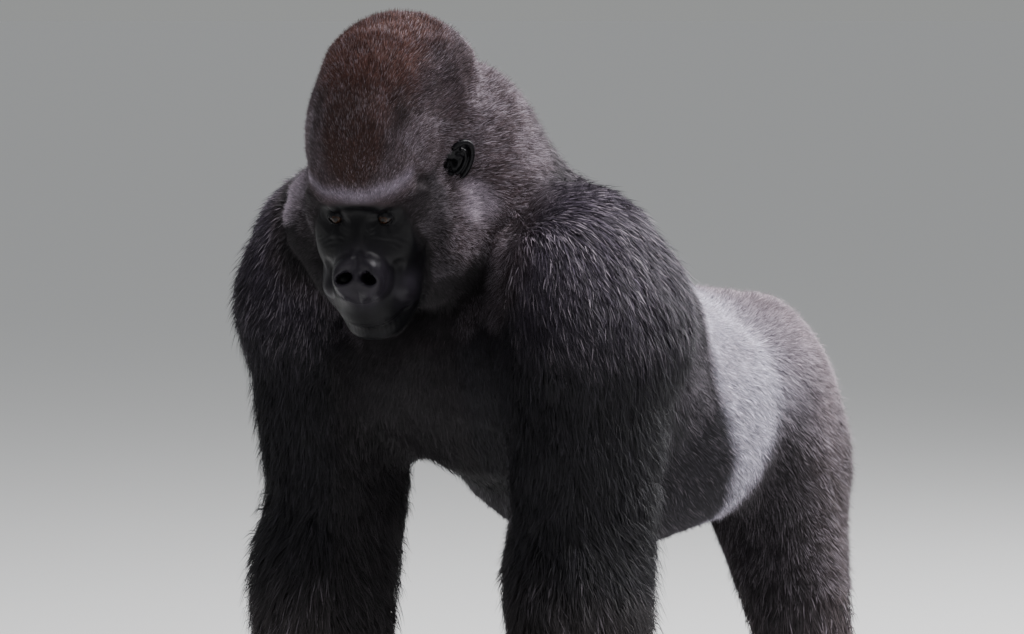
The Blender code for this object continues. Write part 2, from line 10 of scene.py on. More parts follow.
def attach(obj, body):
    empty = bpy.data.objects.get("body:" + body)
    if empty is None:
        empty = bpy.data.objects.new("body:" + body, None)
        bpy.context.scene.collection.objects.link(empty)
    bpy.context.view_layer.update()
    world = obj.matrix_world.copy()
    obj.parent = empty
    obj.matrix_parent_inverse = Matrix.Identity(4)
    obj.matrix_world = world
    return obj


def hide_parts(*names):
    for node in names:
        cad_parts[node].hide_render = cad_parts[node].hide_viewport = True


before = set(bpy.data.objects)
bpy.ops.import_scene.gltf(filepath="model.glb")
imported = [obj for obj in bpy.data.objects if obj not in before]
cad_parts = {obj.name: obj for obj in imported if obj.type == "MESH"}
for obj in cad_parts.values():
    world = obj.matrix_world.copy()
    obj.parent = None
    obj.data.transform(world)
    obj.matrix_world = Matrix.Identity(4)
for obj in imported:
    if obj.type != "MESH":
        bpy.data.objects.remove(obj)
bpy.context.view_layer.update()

# ---------------------------------------------------------------- camera, light and floor
# A long-lens camera a little above the animal's head, off its left front quarter, in a plain
# grey studio: big soft lamps overhead and behind, a weak one at the camera's side. The floor
# is pale and runs out of sight into the haze of the backdrop.
CAMERA_TURN = math.radians(32)  # round from straight ahead, towards the animal's left
CAMERA_RISE = math.radians(4)
CAMERA_AWAY = 9.5
CAMERA_LENS = 230.4
AIM = Vector((0.0825, -0.2130, 0.8219))

camera = bpy.data.objects.new("camera", bpy.data.cameras.new("camera"))
bpy.context.scene.collection.objects.link(camera)
bpy.context.scene.camera = camera
sight = Vector((
    math.sin(CAMERA_TURN) * math.cos(CAMERA_RISE),
    -math.cos(CAMERA_TURN) * math.cos(CAMERA_RISE),
    math.sin(CAMERA_RISE),
))
camera.location = AIM + sight * CAMERA_AWAY
camera.rotation_euler = (-sight).to_track_quat("-Z", "Y").to_euler()
camera.data.lens = CAMERA_LENS
camera.data.clip_end = 60


def soft_lamp(name, place, size, power, colour):
    lamp = bpy.data.objects.new(name, bpy.data.lights.new(name, "AREA"))
    lamp.data.shape = "DISK"
    lamp.data.size = size
    lamp.data.energy = power
    lamp.data.color = colour
    lamp.location = place
    lamp.rotation_euler = (Vector((0, 0, 0.8)) - lamp.location).to_track_quat("-Z", "Y").to_euler()
    bpy.context.scene.collection.objects.link(lamp)


COOL_WHITE = (0.98, 0.98, 1.0)
soft_lamp("sky_lamp", Vector((1.3, 0.5, 4.3)), 3.0, 330, (1.0, 0.985, 1.0))
soft_lamp("back_lamp", Vector((1.2, 4.2, 3.6)), 2.4, 200, COOL_WHITE)
soft_lamp("front_lamp", Vector((3.0, -4.4, 2.6)), 2.4, 28, COOL_WHITE)

world = bpy.data.worlds.new("studio")
bpy.context.scene.world = world
world.use_nodes = True
world_tree = world.node_tree
backdrop = world_tree.nodes["Background"]
backdrop.inputs["Strength"].default_value = 0.45
outward = world_tree.nodes.new("ShaderNodeTexCoord")
height = world_tree.nodes.new("ShaderNodeSeparateXYZ")
haze = world_tree.nodes.new("ShaderNodeValToRGB")
haze.color_ramp.elements[0].position = 0.012
haze.color_ramp.elements[0].color = (0.71, 0.725, 0.72, 1)
haze.color_ramp.elements[1].position = 0.12
haze.color_ramp.elements[1].color = (0.86, 0.88, 0.90, 1)
world_tree.links.new(outward.outputs["Generated"], height.inputs[0])
world_tree.links.new(height.outputs["Z"], haze.inputs["Fac"])
world_tree.links.new(haze.outputs["Color"], backdrop.inputs["Color"])


def new_finish(name, specular, roughness=0.5):
    """A new material with its node tree and its shader."""
    finish = bpy.data.materials.new(name)
    finish.use_nodes = True
    shader = finish.node_tree.nodes["Principled BSDF"]
    shader.inputs["Specular IOR Level"].default_value = specular
    shader.inputs["Roughness"].default_value = roughness
    return finish, finish.node_tree, shader


FLOOR_SIZE = 160
bm = bmesh.new()
bmesh.ops.create_grid(bm, x_segments=2, y_segments=2, size=FLOOR_SIZE)
floor_mesh = bpy.data.meshes.new("floor")
bm.to_mesh(floor_mesh)
bm.free()
floor = bpy.data.objects.new("floor", floor_mesh)
bpy.context.scene.collection.objects.link(floor)
floor_paint, _, floor_shader = new_finish("floor_paint", specular=0.1, roughness=0.9)
floor_shader.inputs["Base Color"].default_value = (0.82, 0.82, 0.81, 1)
floor_mesh.materials.append(floor_paint)

# ---------------------------------------------------------------- skin
# One leathery hide over the whole body, black, thick and creased where it is bare on the face,
# chest, palms and soles. It lies under the coat by the depth of the hair that grows on it.

# Where the parts are: the animal stands square on the floor but looks to its left and down, so
# places on the head are in a frame of the head's own: x to its left, -y to the nose, z up, from
# between the ears. Places on the body are x out from its middle plane, y along it, z up.
MIDDLE = 0.0051  # the body's middle plane, in x
HEAD_PLACE = Vector((-0.0148, -0.4128, 1.044))
HEAD_TURN = math.radians(19)
HEAD_PITCH = math.radians(32)
HEAD_SIZE = 1.027
RIGHT_LEG_STEP = -0.085  # the right foot stands this much further forward

head_frame = (
    Matrix.Translation(HEAD_PLACE) @ Matrix.Rotation(HEAD_TURN, 4, "Z")
    @ Matrix.Rotation(HEAD_PITCH, 4, "X") @ Matrix.Scale(HEAD_SIZE, 4)
)


def matrix_array(matrix):
    return np.array(matrix, np.float64)


def in_head(points):
    """Body places as places in the head's own frame."""
    into = matrix_array(head_frame.inverted())
    return points @ into[:3, :3].T + into[:3, 3]


def out_of_head(points):
    out = matrix_array(head_frame)
    return points @ out[:3, :3].T + out[:3, 3]


def unit(vectors):
    return vectors / np.maximum(np.linalg.norm(vectors, axis=-1, keepdims=True), 1e-9)


def fade(start, end, value):
    """0 before start, 1 after end, eased between."""
    part = np.clip((value - start) / (end - start), 0, 1)
    return part * part * (3 - 2 * part)


def bump_at(value, middle, width):
    """1 at the middle, falling away smoothly over the width."""
    return np.exp(-(((value - middle) / width) ** 2))


def mottle(points, size, seed):
    """Smooth random values from -1 to 1 that change over about the given size."""
    cell = points / size
    low = np.floor(cell).astype(np.int64)
    part = cell - low
    part = part * part * (3 - 2 * part)
    total = np.zeros(len(points))
    for corner in range(8):
        step = np.array([corner >> 2 & 1, corner >> 1 & 1, corner & 1])
        key = (low + step) * np.array([73856093, 19349663, 83492791])
        key = (key[:, 0] ^ key[:, 1] ^ key[:, 2] ^ (seed * 40503)) & 0x7FFFFFFF
        key = (key * 1103515245 + 12345) & 0x7FFFFFFF
        key = ((key ^ (key >> 15)) * 69069 + 7) & 0x7FFFFFFF
        weight = np.prod(np.where(step, part, 1 - part), axis=1)
        total += weight * (key / 0x3FFFFFFF - 1)
    return total


# The lie of the coat: (place, the way the hair points, its length, the coat's depth).
BODY_LIE = {
    "chest": ((0.07, -0.37, 0.72), (0.2, 0.2, -1), 0.018, 0.004),
    "breast": ((0.00, -0.40, 0.84), (0.0, 0.3, -1), 0.022, 0.005),
    "nape": ((0.00, -0.24, 1.12), (0.0, 0.9, -0.5), 0.024, 0.013),
    "side of the neck": ((0.13, -0.30, 1.03), (0.4, 0.6, -0.7), 0.025, 0.012),
    "withers": ((0.00, -0.12, 1.02), (0.0, 1.0, -0.1), 0.028, 0.011),
    "middle of the back": ((0.00, 0.06, 0.93), (0.0, 1.0, -0.2), 0.018, 0.007),
    "saddle": ((0.00, 0.22, 0.87), (0.0, 1.0, -0.2), 0.013, 0.005),
    "saddle's side": ((0.18, 0.12, 0.76), (0.1, 0.6, -0.8), 0.014, 0.005),
    "behind the shoulder": ((0.21, -0.02, 0.80), (0.1, 0.5, -0.8), 0.022, 0.008),
    "top of the rump": ((0.04, 0.42, 0.83), (0.0, 1.0, -0.2), 0.018, 0.008),
    "rump": ((0.10, 0.53, 0.73), (0.0, 0.5, -1), 0.021, 0.010),
    "foot of the rump": ((0.09, 0.56, 0.60), (0.0, 0.2, -1), 0.023, 0.011),
    "flank": ((0.21, 0.20, 0.62), (0.0, 0.7, -0.8), 0.018, 0.006),
    "belly": ((0.05, 0.15, 0.44), (0.0, 1.0, -0.1), 0.018, 0.005),
    "side of the belly": ((0.18, 0.10, 0.52), (0.0, 0.8, -0.6), 0.018, 0.005),
    "top of the shoulder": ((0.20, -0.22, 1.01), (0.8, 0.2, -0.5), 0.036, 0.013),
    "shoulder": ((0.32, -0.22, 0.87), (0.15, 0.15, -1), 0.046, 0.017),
    "front of the shoulder": ((0.23, -0.38, 0.88), (0.25, 0.1, -1), 0.038, 0.013),
    "back of the shoulder": ((0.24, -0.08, 0.88), (0.2, 0.4, -0.8), 0.036, 0.013),
    "outer upper arm": ((0.33, -0.23, 0.70), (0.05, 0.15, -1), 0.052, 0.018),
    "front of the upper arm": ((0.22, -0.36, 0.70), (0.1, 0.1, -1), 0.042, 0.015),
    "inner upper arm": ((0.11, -0.24, 0.64), (0.0, 0.1, -1), 0.032, 0.010),
    "back of the upper arm": ((0.22, -0.10, 0.67), (0.0, 0.3, -1), 0.050, 0.017),
    "outer forearm": ((0.33, -0.25, 0.40), (0.25, 0.3, -1), 0.060, 0.020),
    "front of the forearm": ((0.22, -0.37, 0.40), (0.25, 0.1, -1), 0.048, 0.016),
    "back of the forearm": ((0.22, -0.15, 0.38), (0.0, 0.6, -1), 0.078, 0.021),
    "inner forearm": ((0.12, -0.26, 0.38), (-0.1, 0.3, -1), 0.045, 0.014),
    "wrist": ((0.23, -0.28, 0.19), (0.05, 0.25, -1), 0.034, 0.008),
    "back of the hand": ((0.23, -0.32, 0.115), (0.0, -0.2, -1), 0.013, 0.003),
    "knuckles": ((0.23, -0.35, 0.05), (0.0, -0.3, -1), 0.006, 0.001),
    "front of the thigh": ((0.15, 0.30, 0.56), (0.0, 0.3, -1), 0.023, 0.009),
    "outer thigh": ((0.26, 0.42, 0.55), (0.0, 0.35, -1), 0.024, 0.011),
    "back of the thigh": ((0.15, 0.55, 0.50), (0.0, 0.25, -1), 0.026, 0.012),
    "inner thigh": ((0.05, 0.42, 0.52), (0.0, 0.2, -1), 0.024, 0.008),
    "shin": ((0.20, 0.37, 0.24), (0.0, 0.2, -1), 0.036, 0.010),
    "calf": ((0.20, 0.51, 0.24), (0.0, 0.3, -1), 0.044, 0.012),
    "ankle": ((0.20, 0.50, 0.11), (0.0, 0.1, -1), 0.022, 0.005),
    "top of the foot": ((0.19, 0.38, 0.06), (0.0, -1, -0.2), 0.010, 0.002),
    "toes": ((0.18, 0.28, 0.03), (0.0, -1, 0.0), 0.005, 0.0005),
}
HEAD_LIE = {
    "crown": ((0.0, 0.06, 0.200), (0, 1, 0.1), 0.017, 0.010),
    "front of the crown": ((0.0, -0.07, 0.160), (0, 0.6, 0.8), 0.014, 0.008),
    "forehead": ((0.0, -0.13, 0.090), (0, 0.2, 1), 0.010, 0.005),
    "top of the brow": ((0.03, -0.15, 0.052), (0.2, 0.1, 1), 0.007, 0.0015),
    "end of the brow": ((0.080, -0.10, 0.035), (0.5, 0.6, 0.6), 0.009, 0.002),
    "side of the crown": ((0.085, 0.02, 0.120), (0.2, 1, 0.1), 0.014, 0.008),
    "temple": ((0.085, -0.04, 0.055), (0.3, 1, 0.1), 0.011, 0.006),
    "before the ear": ((0.095, -0.03, -0.010), (0.4, 0.8, -0.3), 0.011, 0.006),
    "behind the ear": ((0.125, 0.05, 0.020), (0.4, 0.8, -0.4), 0.017, 0.009),
    "cheek": ((0.120, -0.03, -0.080), (0.5, 0.5, -0.7), 0.015, 0.008),
    "jowl": ((0.105, -0.04, -0.150), (0.3, 0.4, -1), 0.018, 0.008),
    "under the jaw": ((0.0, -0.06, -0.200), (0, 0.6, -1), 0.020, 0.006),
    "edge of the face": ((0.078, -0.09, -0.060), (0.6, 0.6, -0.5), 0.008, 0.002),
    "chin": ((0.0, -0.15, -0.180), (0, 0.5, -1), 0.009, 0.0015),
}
LIE_REACH = 0.055  # how far a place in the tables above holds sway
AT_A_TIME = 50000  # points set against the tables together


def lie_table():
    """The tables as arrays over both sides: places, directions, lengths and depths."""
    rows = []
    for (x, y, z), (dx, dy, dz), length, depth in BODY_LIE.values():
        for side in (1, -1) if x else (1,):
            step = RIGHT_LEG_STEP if side < 0 and y > 0.25 and z < 0.45 else 0
            rows.append(((MIDDLE + side * x, y + step, z), (side * dx, dy, dz), length, depth))
    turn = matrix_array(head_frame)[:3, :3]
    for (x, y, z), (dx, dy, dz), length, depth in HEAD_LIE.values():
        for side in (1, -1) if x else (1,):
            place = out_of_head(np.array([[side * x, y, z]]))[0]
            way = turn @ np.array([side * dx, dy, dz])
            rows.append((tuple(place), tuple(way), length, depth))
    places, ways, lengths, depths = (np.array(column) for column in zip(*rows))
    return places, unit(ways), lengths, depths


def lie_of(points):
    """Direction, hair length and coat depth at each point, from the tables' nearby places."""
    places, ways, lengths, depths = lie_table()
    way, length, depth = np.zeros((len(points), 3)), np.zeros(len(points)), np.zeros(len(points))
    for start in range(0, len(points), AT_A_TIME):
        part = slice(start, start + AT_A_TIME)
        away = np.linalg.norm(points[part, None] - places[None], axis=2)
        nearest = away.min(axis=1, keepdims=True)
        weight = np.exp(-((away**2 - nearest**2) / (2 * LIE_REACH**2)))
        weight /= weight.sum(axis=1, keepdims=True)
        way[part] = weight @ ways
        length[part] = weight @ lengths
        depth[part] = weight @ depths
    return unit(way), length, depth


# The markings of a silverback, which skin and hair share: red-brown cap, grizzled brown-grey
# cheeks and neck, black arms and shoulders, silver saddle and flank, pinkish-grey rump,
# brown-grey thighs that are black in front, and bare black face, palms and soles. Painted light
# lies on them too: a violet sheen on the shoulders' tops and the nose, a highlight on the brow,
# rim light on the cheeks' edges and shade on the far jowl.
BLACK = np.array([0.0110, 0.0100, 0.0125])
BARE_SKIN = np.array([0.0036, 0.0034, 0.0044])
# painted highlight: the sky's violet reflection on the nose and the pads beside it
MUZZLE_PAINTED_SHEEN = np.array([0.0260, 0.0225, 0.0295])
# painted sheen of the sky light on the tops of the black shoulders
SHOULDER_PAINTED_SHEEN = np.array([0.0440, 0.0350, 0.0500])
FOREARM_BROWN = np.array([0.0260, 0.0220, 0.0230])
NECK_GREY = np.array([0.034, 0.027, 0.033])
CHEEK_GREY = np.array([0.064, 0.046, 0.051])
# painted rim light on the cheeks' outer edges
CHEEK_PAINTED_RIM_LIGHT = np.array([0.330, 0.280, 0.330])
CHEEK_DARK = np.array([0.0130, 0.0110, 0.0125])
CAP_BROWN = np.array([0.078, 0.036, 0.030])
BROW_BROWN = np.array([0.046, 0.024, 0.021])
CAP_DARK = np.array([0.020, 0.013, 0.013])
# painted highlight along the top of the brow ridge
BROW_PAINTED_HIGHLIGHT = np.array([0.230, 0.195, 0.240])
SILVER = np.array([0.390, 0.370, 0.440])
RUMP_GREY = np.array([0.215, 0.175, 0.195])
THIGH_GREY = np.array([0.064, 0.050, 0.053])
FLANK_DARK = np.array([0.020, 0.018, 0.022])


def bare_of(points, normals):
    """1 where the skin is bare: face, ears, palms and soles."""
    local = in_head(points)
    across = np.abs(local[:, 0]) / 0.074
    height = (local[:, 2] + 0.072) / np.where(local[:, 2] > -0.072, 0.112, 0.113)
    front = fade(-0.030, -0.055, local[:, 1])
    face = front * fade(1.08, 0.94, np.sqrt(across**2.6 + np.abs(height) ** 2.6))
    under = fade(-0.35, -0.65, normals[:, 2])
    ends = fade(0.120, 0.100, points[:, 2]) * under
    fingers = fade(0.075, 0.050, points[:, 2]) * fade(0.0, -0.05, points[:, 1])
    toes = fade(0.050, 0.035, points[:, 2]) * fade(0.10, 0.20, points[:, 1])
    return np.clip(np.maximum.reduce([face, ends, fingers, toes]), 0, 1)


def muzzle_gloss_and_sheen_of(points):
    """1 on the nose and beside it, where the skin is smoother and a highlight is painted; 0 in the
    nostrils.
    """
    local = in_head(points)
    local[:, 0] = np.abs(local[:, 0])
    nose = fade(0.064, 0.030, np.linalg.norm(local - [0, -0.190, -0.058], axis=1))
    beside = fade(0.040, 0.012, np.linalg.norm(local - [0.053, -0.145, -0.100], axis=1))
    pit = (local - [0.018, -0.182, -0.058]) / [0.0135, 0.0120, 0.0110]
    return np.maximum(nose, 0.75 * beside) * fade(0.75, 1.10, np.linalg.norm(pit, axis=1))


def head_distance(local):
    """Distance from between the ears, counted less along and up the head than across it."""
    return np.linalg.norm(local * [1, 0.8, 0.8], axis=1)


def blend_in(colour, amount, base):
    return base + (colour - base) * amount[:, None]


def coat_colour(points, normals):
    """The colour of the coat or bare skin at each place."""
    x = points[:, 0] - MIDDLE
    y, z = points[:, 1], points[:, 2]
    wander = 0.020 * mottle(points, 0.07, 3) + 0.010 * mottle(points, 0.025, 5)
    colour = np.tile(BLACK, (len(points), 1))
    trunk = fade(-0.10, 0.02, y + wander)
    colour = blend_in(FLANK_DARK, trunk, colour)
    back_height = z - (0.44 + 0.48 * fade(0.25, 0.00, y)) + wander
    silver = fade(-0.05, 0.09, back_height) * fade(-0.06, 0.06, y + wander)
    colour = blend_in(SILVER, silver, colour)
    colour = blend_in(RUMP_GREY, fade(0.29, 0.43, y + wander) * fade(0.42, 0.56, z), colour)
    leg = fade(0.74, 0.56, z + wander) * fade(0.21, 0.28, y - 0.45 * (z - 0.55))
    colour = blend_in(THIGH_GREY, leg, colour)
    colour = blend_in(BLACK, 0.85 * leg * fade(0.05, -0.04, y - 0.35 - 0.1 * np.abs(x)), colour)
    colour = blend_in(BLACK, fade(0.26, 0.10, z + wander) * fade(0.0, 0.1, y), colour)
    colour = blend_in(FOREARM_BROWN, fade(0.50, 0.38, z + wander) * fade(0.02, -0.08, y), colour)
    # painted sheen: the black shoulders and upper arms grow lighter and violet upwards, where the
    # sky light falls
    shoulder = fade(0.72, 1.00, z + wander) * fade(0.02, -0.08, y) * fade(0.14, 0.20, np.abs(x))
    colour = blend_in(SHOULDER_PAINTED_SHEEN, shoulder, colour)
    neck = fade(-0.02, -0.14, y + wander) * fade(0.90, 1.02, z - np.abs(x) * 0.35 + wander)
    colour = blend_in(NECK_GREY, neck, colour)

    local = in_head(points)
    side, back, up = np.abs(local[:, 0]), local[:, 1], local[:, 2] + 0.5 * wander
    on_head = fade(0.24, 0.19, head_distance(local) + wander)
    front = fade(-0.01, -0.06, back)
    colour = blend_in(CHEEK_GREY, on_head, colour)
    cap = fade(0.115, 0.160, up - 0.30 * np.maximum(side - 0.06, 0)) * fade(0.21, 0.11, back)
    colour = blend_in(CAP_BROWN, cap * on_head, colour)
    patch = np.hypot(side / 0.046, (up - 0.116) / 0.054)
    arc = bump_at(patch, 1.30, 0.26) * front * fade(0.095, 0.135, up)
    colour = blend_in(CAP_DARK, 0.9 * arc, colour)
    colour = blend_in(BROW_BROWN, fade(1.10, 0.70, patch) * front, colour)
    # painted highlight: a pale band along the top of the brow ridge, where the light from above
    # falls
    brow = bump_at(up, 0.054, 0.0085) * fade(-0.08, -0.11, back) * fade(0.090, 0.065, side)
    colour = blend_in(BROW_PAINTED_HIGHLIGHT, 0.95 * brow, colour)
    by_face = fade(0.118, 0.090, side) * fade(0.045, 0.020, up) * fade(-0.01, -0.05, back)
    colour = blend_in(CHEEK_DARK, 0.85 * by_face, colour)
    # partly painted shade: the lower jowls are dark, and on the head's far, right side the dark
    # reaches higher as shade
    low = fade(-0.080, -0.145, up + 0.8 * np.minimum(local[:, 0] + 0.02, 0)) * on_head
    colour = blend_in(CHEEK_DARK, low, colour)
    # painted rim light: a pale crescent on the outer edge of each cheek
    edge = np.linalg.norm(np.stack([side - 0.122, back + 0.005, up + 0.045], axis=1), axis=1)
    colour = blend_in(CHEEK_PAINTED_RIM_LIGHT, 0.85 * fade(0.048, 0.012, edge + wander), colour)
    bare = bare_of(points, normals)
    colour = blend_in(BARE_SKIN, bare, colour)
    # painted sheen: the nose and the pads beside it are painted paler and violet, a highlight of
    # the sky light
    shine = muzzle_gloss_and_sheen_of(points) * bare * (0.75 + 0.25 * mottle(points, 0.012, 6))
    return blend_in(MUZZLE_PAINTED_SHEEN, shine, colour)


# The parts that the hide covers, swelled a little to close the cuts between them.
FLESH = [
    "head", "neck", "chest", "abdomen", "hips",
    "upper_arm_left", "forearm_left", "hand_left", "upper_arm_right", "forearm_right",
    "hand_right", "thigh_left", "shin_left", "foot_left", "thigh_right", "shin_right",
    "foot_right",
]
WELD = 0.00002
CLOSE_GAPS = 0.0005
SKIN_VOXEL = 0.0045
SKIN_TRIANGLES = 150000
EASE_PASSES = {"broad": 40, "fine": 5}
FACE_EASE_PASSES = 6


def vertex_array(mesh, what="co"):
    values = np.empty(len(mesh.vertices) * 3, np.float32)
    if what == "co":
        mesh.vertices.foreach_get("co", values)
    else:
        mesh.vertex_normals.foreach_get("vector", values)
    return values.reshape(-1, 3).astype(np.float64)


def set_vertices(mesh, points):
    mesh.vertices.foreach_set("co", points.astype(np.float32).ravel())
    mesh.update()


def finish_modifiers(piece):
    graph = bpy.context.evaluated_depsgraph_get()
    mesh = bpy.data.meshes.new_from_object(piece.evaluated_get(graph))
    piece.modifiers.clear()
    piece.data = mesh
    return mesh


def near(points, place, reach):
    """1 at a place, easing to 0 at its reach."""
    away = np.linalg.norm(points - place, axis=1) / reach
    return np.clip(1 - away**2, 0, 1) ** 2


skin_bm = bmesh.new()
for name in FLESH:
    part = bmesh.new()
    part.from_mesh(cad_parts[name].data)
    bmesh.ops.remove_doubles(part, verts=part.verts, dist=WELD)
    part.normal_update()
    for vert in part.verts:
        vert.co += vert.normal * CLOSE_GAPS
    part_mesh = bpy.data.meshes.new("part")
    part.to_mesh(part_mesh)
    part.free()
    skin_bm.from_mesh(part_mesh)
    bpy.data.meshes.remove(part_mesh)
skin_mesh = bpy.data.meshes.new("skin")
skin_bm.to_mesh(skin_mesh)
skin_bm.free()
skin = bpy.data.objects.new("skin", skin_mesh)
bpy.context.scene.collection.objects.link(skin)
melt = skin.modifiers.new("melt", "REMESH")
melt.mode = "VOXEL"
melt.voxel_size = SKIN_VOXEL
skin_mesh = finish_modifiers(skin)

# The broad body is eased more than the head, hands and feet.
points = vertex_array(skin_mesh)
local = in_head(points)
on_head = fade(0.24, 0.20, head_distance(local))
broad = (1 - on_head) * fade(0.08, 0.16, points[:, 2])
ease_broad = skin.vertex_groups.new(name="broad")
ease_fine = skin.vertex_groups.new(name="fine")
for index, weight in enumerate(broad):
    ease_broad.add([index], float(weight), "REPLACE")
    ease_fine.add([index], float(1 - 0.9 * weight), "REPLACE")
for name, passes in EASE_PASSES.items():
    ease = skin.modifiers.new("ease_" + name, "SMOOTH")
    ease.factor = 0.5
    ease.iterations = passes
    ease.vertex_group = name
skin_mesh = finish_modifiers(skin)
skin.vertex_groups.clear()

# The hide lies in from the coat's outline by the coat's depth.
points = vertex_array(skin_mesh)
normals = vertex_array(skin_mesh, "normal")
local = in_head(points)
depth = lie_of(points)[2] * (1 - bare_of(points, normals))
points -= normals * depth[:, None]
set_vertices(skin_mesh, points)

# The broad body needs fewer faces than the head, hands and feet.
fine = fade(0.22, 0.19, head_distance(local)) + fade(0.16, 0.12, points[:, 2])
broad_zone = skin.vertex_groups.new(name="broad")
broad_zone.add([int(index) for index in np.flatnonzero(fine < 0.5)], 1.0, "REPLACE")
thin = skin.modifiers.new("thin", "DECIMATE")
thin.ratio = SKIN_TRIANGLES / (2 * len(skin_mesh.polygons))
thin.vertex_group = "broad"
skin_mesh = finish_modifiers(skin)
skin.vertex_groups.clear()

# The face is given four times the faces, eased once more, and takes its folds.
FACE_HALF_WIDTH = 0.088
face_bm = bmesh.new()
face_bm.from_mesh(skin_mesh)
into_head = head_frame.inverted()
face_edges, face_verts = [], set()
for edge in face_bm.edges:
    middle = into_head @ ((edge.verts[0].co + edge.verts[1].co) / 2)
    if middle.y < -0.070 and abs(middle.x) < FACE_HALF_WIDTH and -0.21 < middle.z < 0.075:
        face_edges.append(edge)
bmesh.ops.subdivide_edges(face_bm, edges=face_edges, cuts=1, use_grid_fill=True, smooth=0.4)
bmesh.ops.triangulate(face_bm, faces=face_bm.faces)
for vert in face_bm.verts:
    place = into_head @ vert.co
    if place.y < -0.078 and abs(place.x) < FACE_HALF_WIDTH - 0.01 and -0.20 < place.z < 0.065:
        face_verts.add(vert)
for _ in range(FACE_EASE_PASSES):
    bmesh.ops.smooth_vert(
        face_bm, verts=list(face_verts), factor=0.5,
        use_axis_x=True, use_axis_y=True, use_axis_z=True,
    )
face_bm.to_mesh(skin_mesh)
face_bm.free()

# Folds of the face: (place, reach, push) in the head's own frame, each with a twin on the right.
EYE_PLACE = np.array([0.0335, -0.1225, 0.004])
EYE_RADIUS = 0.0125
FOLDS = {
    "fold over the eye": ((0.034, -0.140, 0.026), 0.013, (0, -0.0030, -0.002)),
    "bag under the eye": ((0.034, -0.134, -0.017), 0.012, (0, -0.0045, 0)),
    "crease under the bag": ((0.036, -0.137, -0.029), 0.008, (0, 0.0030, 0)),
    "inner corner": ((0.015, -0.138, 0.004), 0.010, (0, 0.0030, 0)),
    "cheek pad": ((0.053, -0.142, -0.098), 0.026, (0.003, -0.0105, 0)),
    "pad's lower edge": ((0.050, -0.148, -0.126), 0.014, (0.001, 0.0030, 0)),
    "from nose to cheek": ((0.046, -0.146, -0.062), 0.016, (0, 0.0060, 0)),
    "corner of the mouth": ((0.060, -0.130, -0.142), 0.010, (0, 0.0040, 0)),
    "side of the chin": ((0.030, -0.150, -0.188), 0.013, (0, 0.0020, 0)),
}
face = in_head(vertex_array(skin_mesh))
hollow = bump_at(face[:, 2], 0.008, 0.022) * fade(0.074, 0.056, np.abs(face[:, 0]))
hollow *= fade(0.000, 0.034, np.abs(face[:, 0])) * fade(-0.090, -0.105, face[:, 1])
face[:, 1] += 0.0035 * hollow
for place, reach, push in FOLDS.values():
    for side in (1, -1):
        mirror = np.array([side, 1, 1])
        face += near(face, place * mirror, reach)[:, None] * (push * mirror)

# The nose pad: a broad swollen rim round two open nostrils, a ridge between, a notch above.
PAD_MIDDLE = np.array([0.0, -0.192, -0.053])
PAD_FACES = unit(np.array([0.0, -0.83, 0.56]))
PAD_UP = np.array([0.0, 0.56, 0.83])
PAD_HALF_SIZE = (0.0390, 0.0350)
NOSTRIL = (0.0178, 0.0000)  # across and up from the middle of the pad
NOSTRIL_HALF_SIZE = (0.0126, 0.0088)
on_pad = face - PAD_MIDDLE
across, up = np.abs(on_pad[:, 0]), on_pad @ PAD_UP
ring = np.hypot(across / PAD_HALF_SIZE[0], up / PAD_HALF_SIZE[1])
hole = np.hypot(
    (across - NOSTRIL[0]) / NOSTRIL_HALF_SIZE[0],
    (up - NOSTRIL[1] + 0.20 * (across - NOSTRIL[0])) / NOSTRIL_HALF_SIZE[1],
)
close = fade(-0.060, -0.030, on_pad @ PAD_FACES) * fade(1.7, 1.4, ring)
rise = 0.0048 * bump_at(ring, 0.78, 0.24) - 0.0036 * bump_at(ring, 0.0, 0.45)
rise -= 0.0050 * bump_at(ring, 1.15, 0.11) * fade(-0.036, -0.016, up) * fade(0.050, 0.010, up)
rise -= 0.0140 * fade(1.0, 0.60, hole)
rise += 0.0010 * bump_at(hole, 1.30, 0.20)
rise += 0.0030 * bump_at(across, 0, 0.0044) * bump_at(up, 0.000, 0.012)
rise -= 0.0048 * bump_at(across, 0, 0.0065) * bump_at(up, 0.031, 0.010)
rise -= 0.0016 * bump_at(across, 0, 0.0036) * bump_at(up, 0.018, 0.008)
rise -= 0.0020 * bump_at(across, 0, 0.0030) * bump_at(up, -0.028, 0.010)
face += (close * rise)[:, None] * PAD_FACES

# The mouth: a long shut line, its corners turned down a little, between two full lips.
MOUTH_MIDDLE = np.array([0.0, -0.180, -0.141])
MOUTH_CORNER = np.array([0.0610, -0.131, -0.132])
MOUTH_STEPS = 36
for step in range(MOUTH_STEPS + 1):
    turn = 2 * step / MOUTH_STEPS - 1
    place = MOUTH_MIDDLE + (MOUTH_CORNER - MOUTH_MIDDLE) * turn**2
    place[0] = MOUTH_CORNER[0] * turn
    share = (1 - 0.45 * turn**2) / 3
    face += near(face, place, 0.0055)[:, None] * [0, 0.0075 * share, 0]
    face += near(face, place + [0, -0.002, 0.0085], 0.0075)[:, None] * [0, -0.0024 * share, 0]
    face += near(face, place + [0, -0.002, -0.0090], 0.0080)[:, None] * [0, -0.0030 * share, 0]

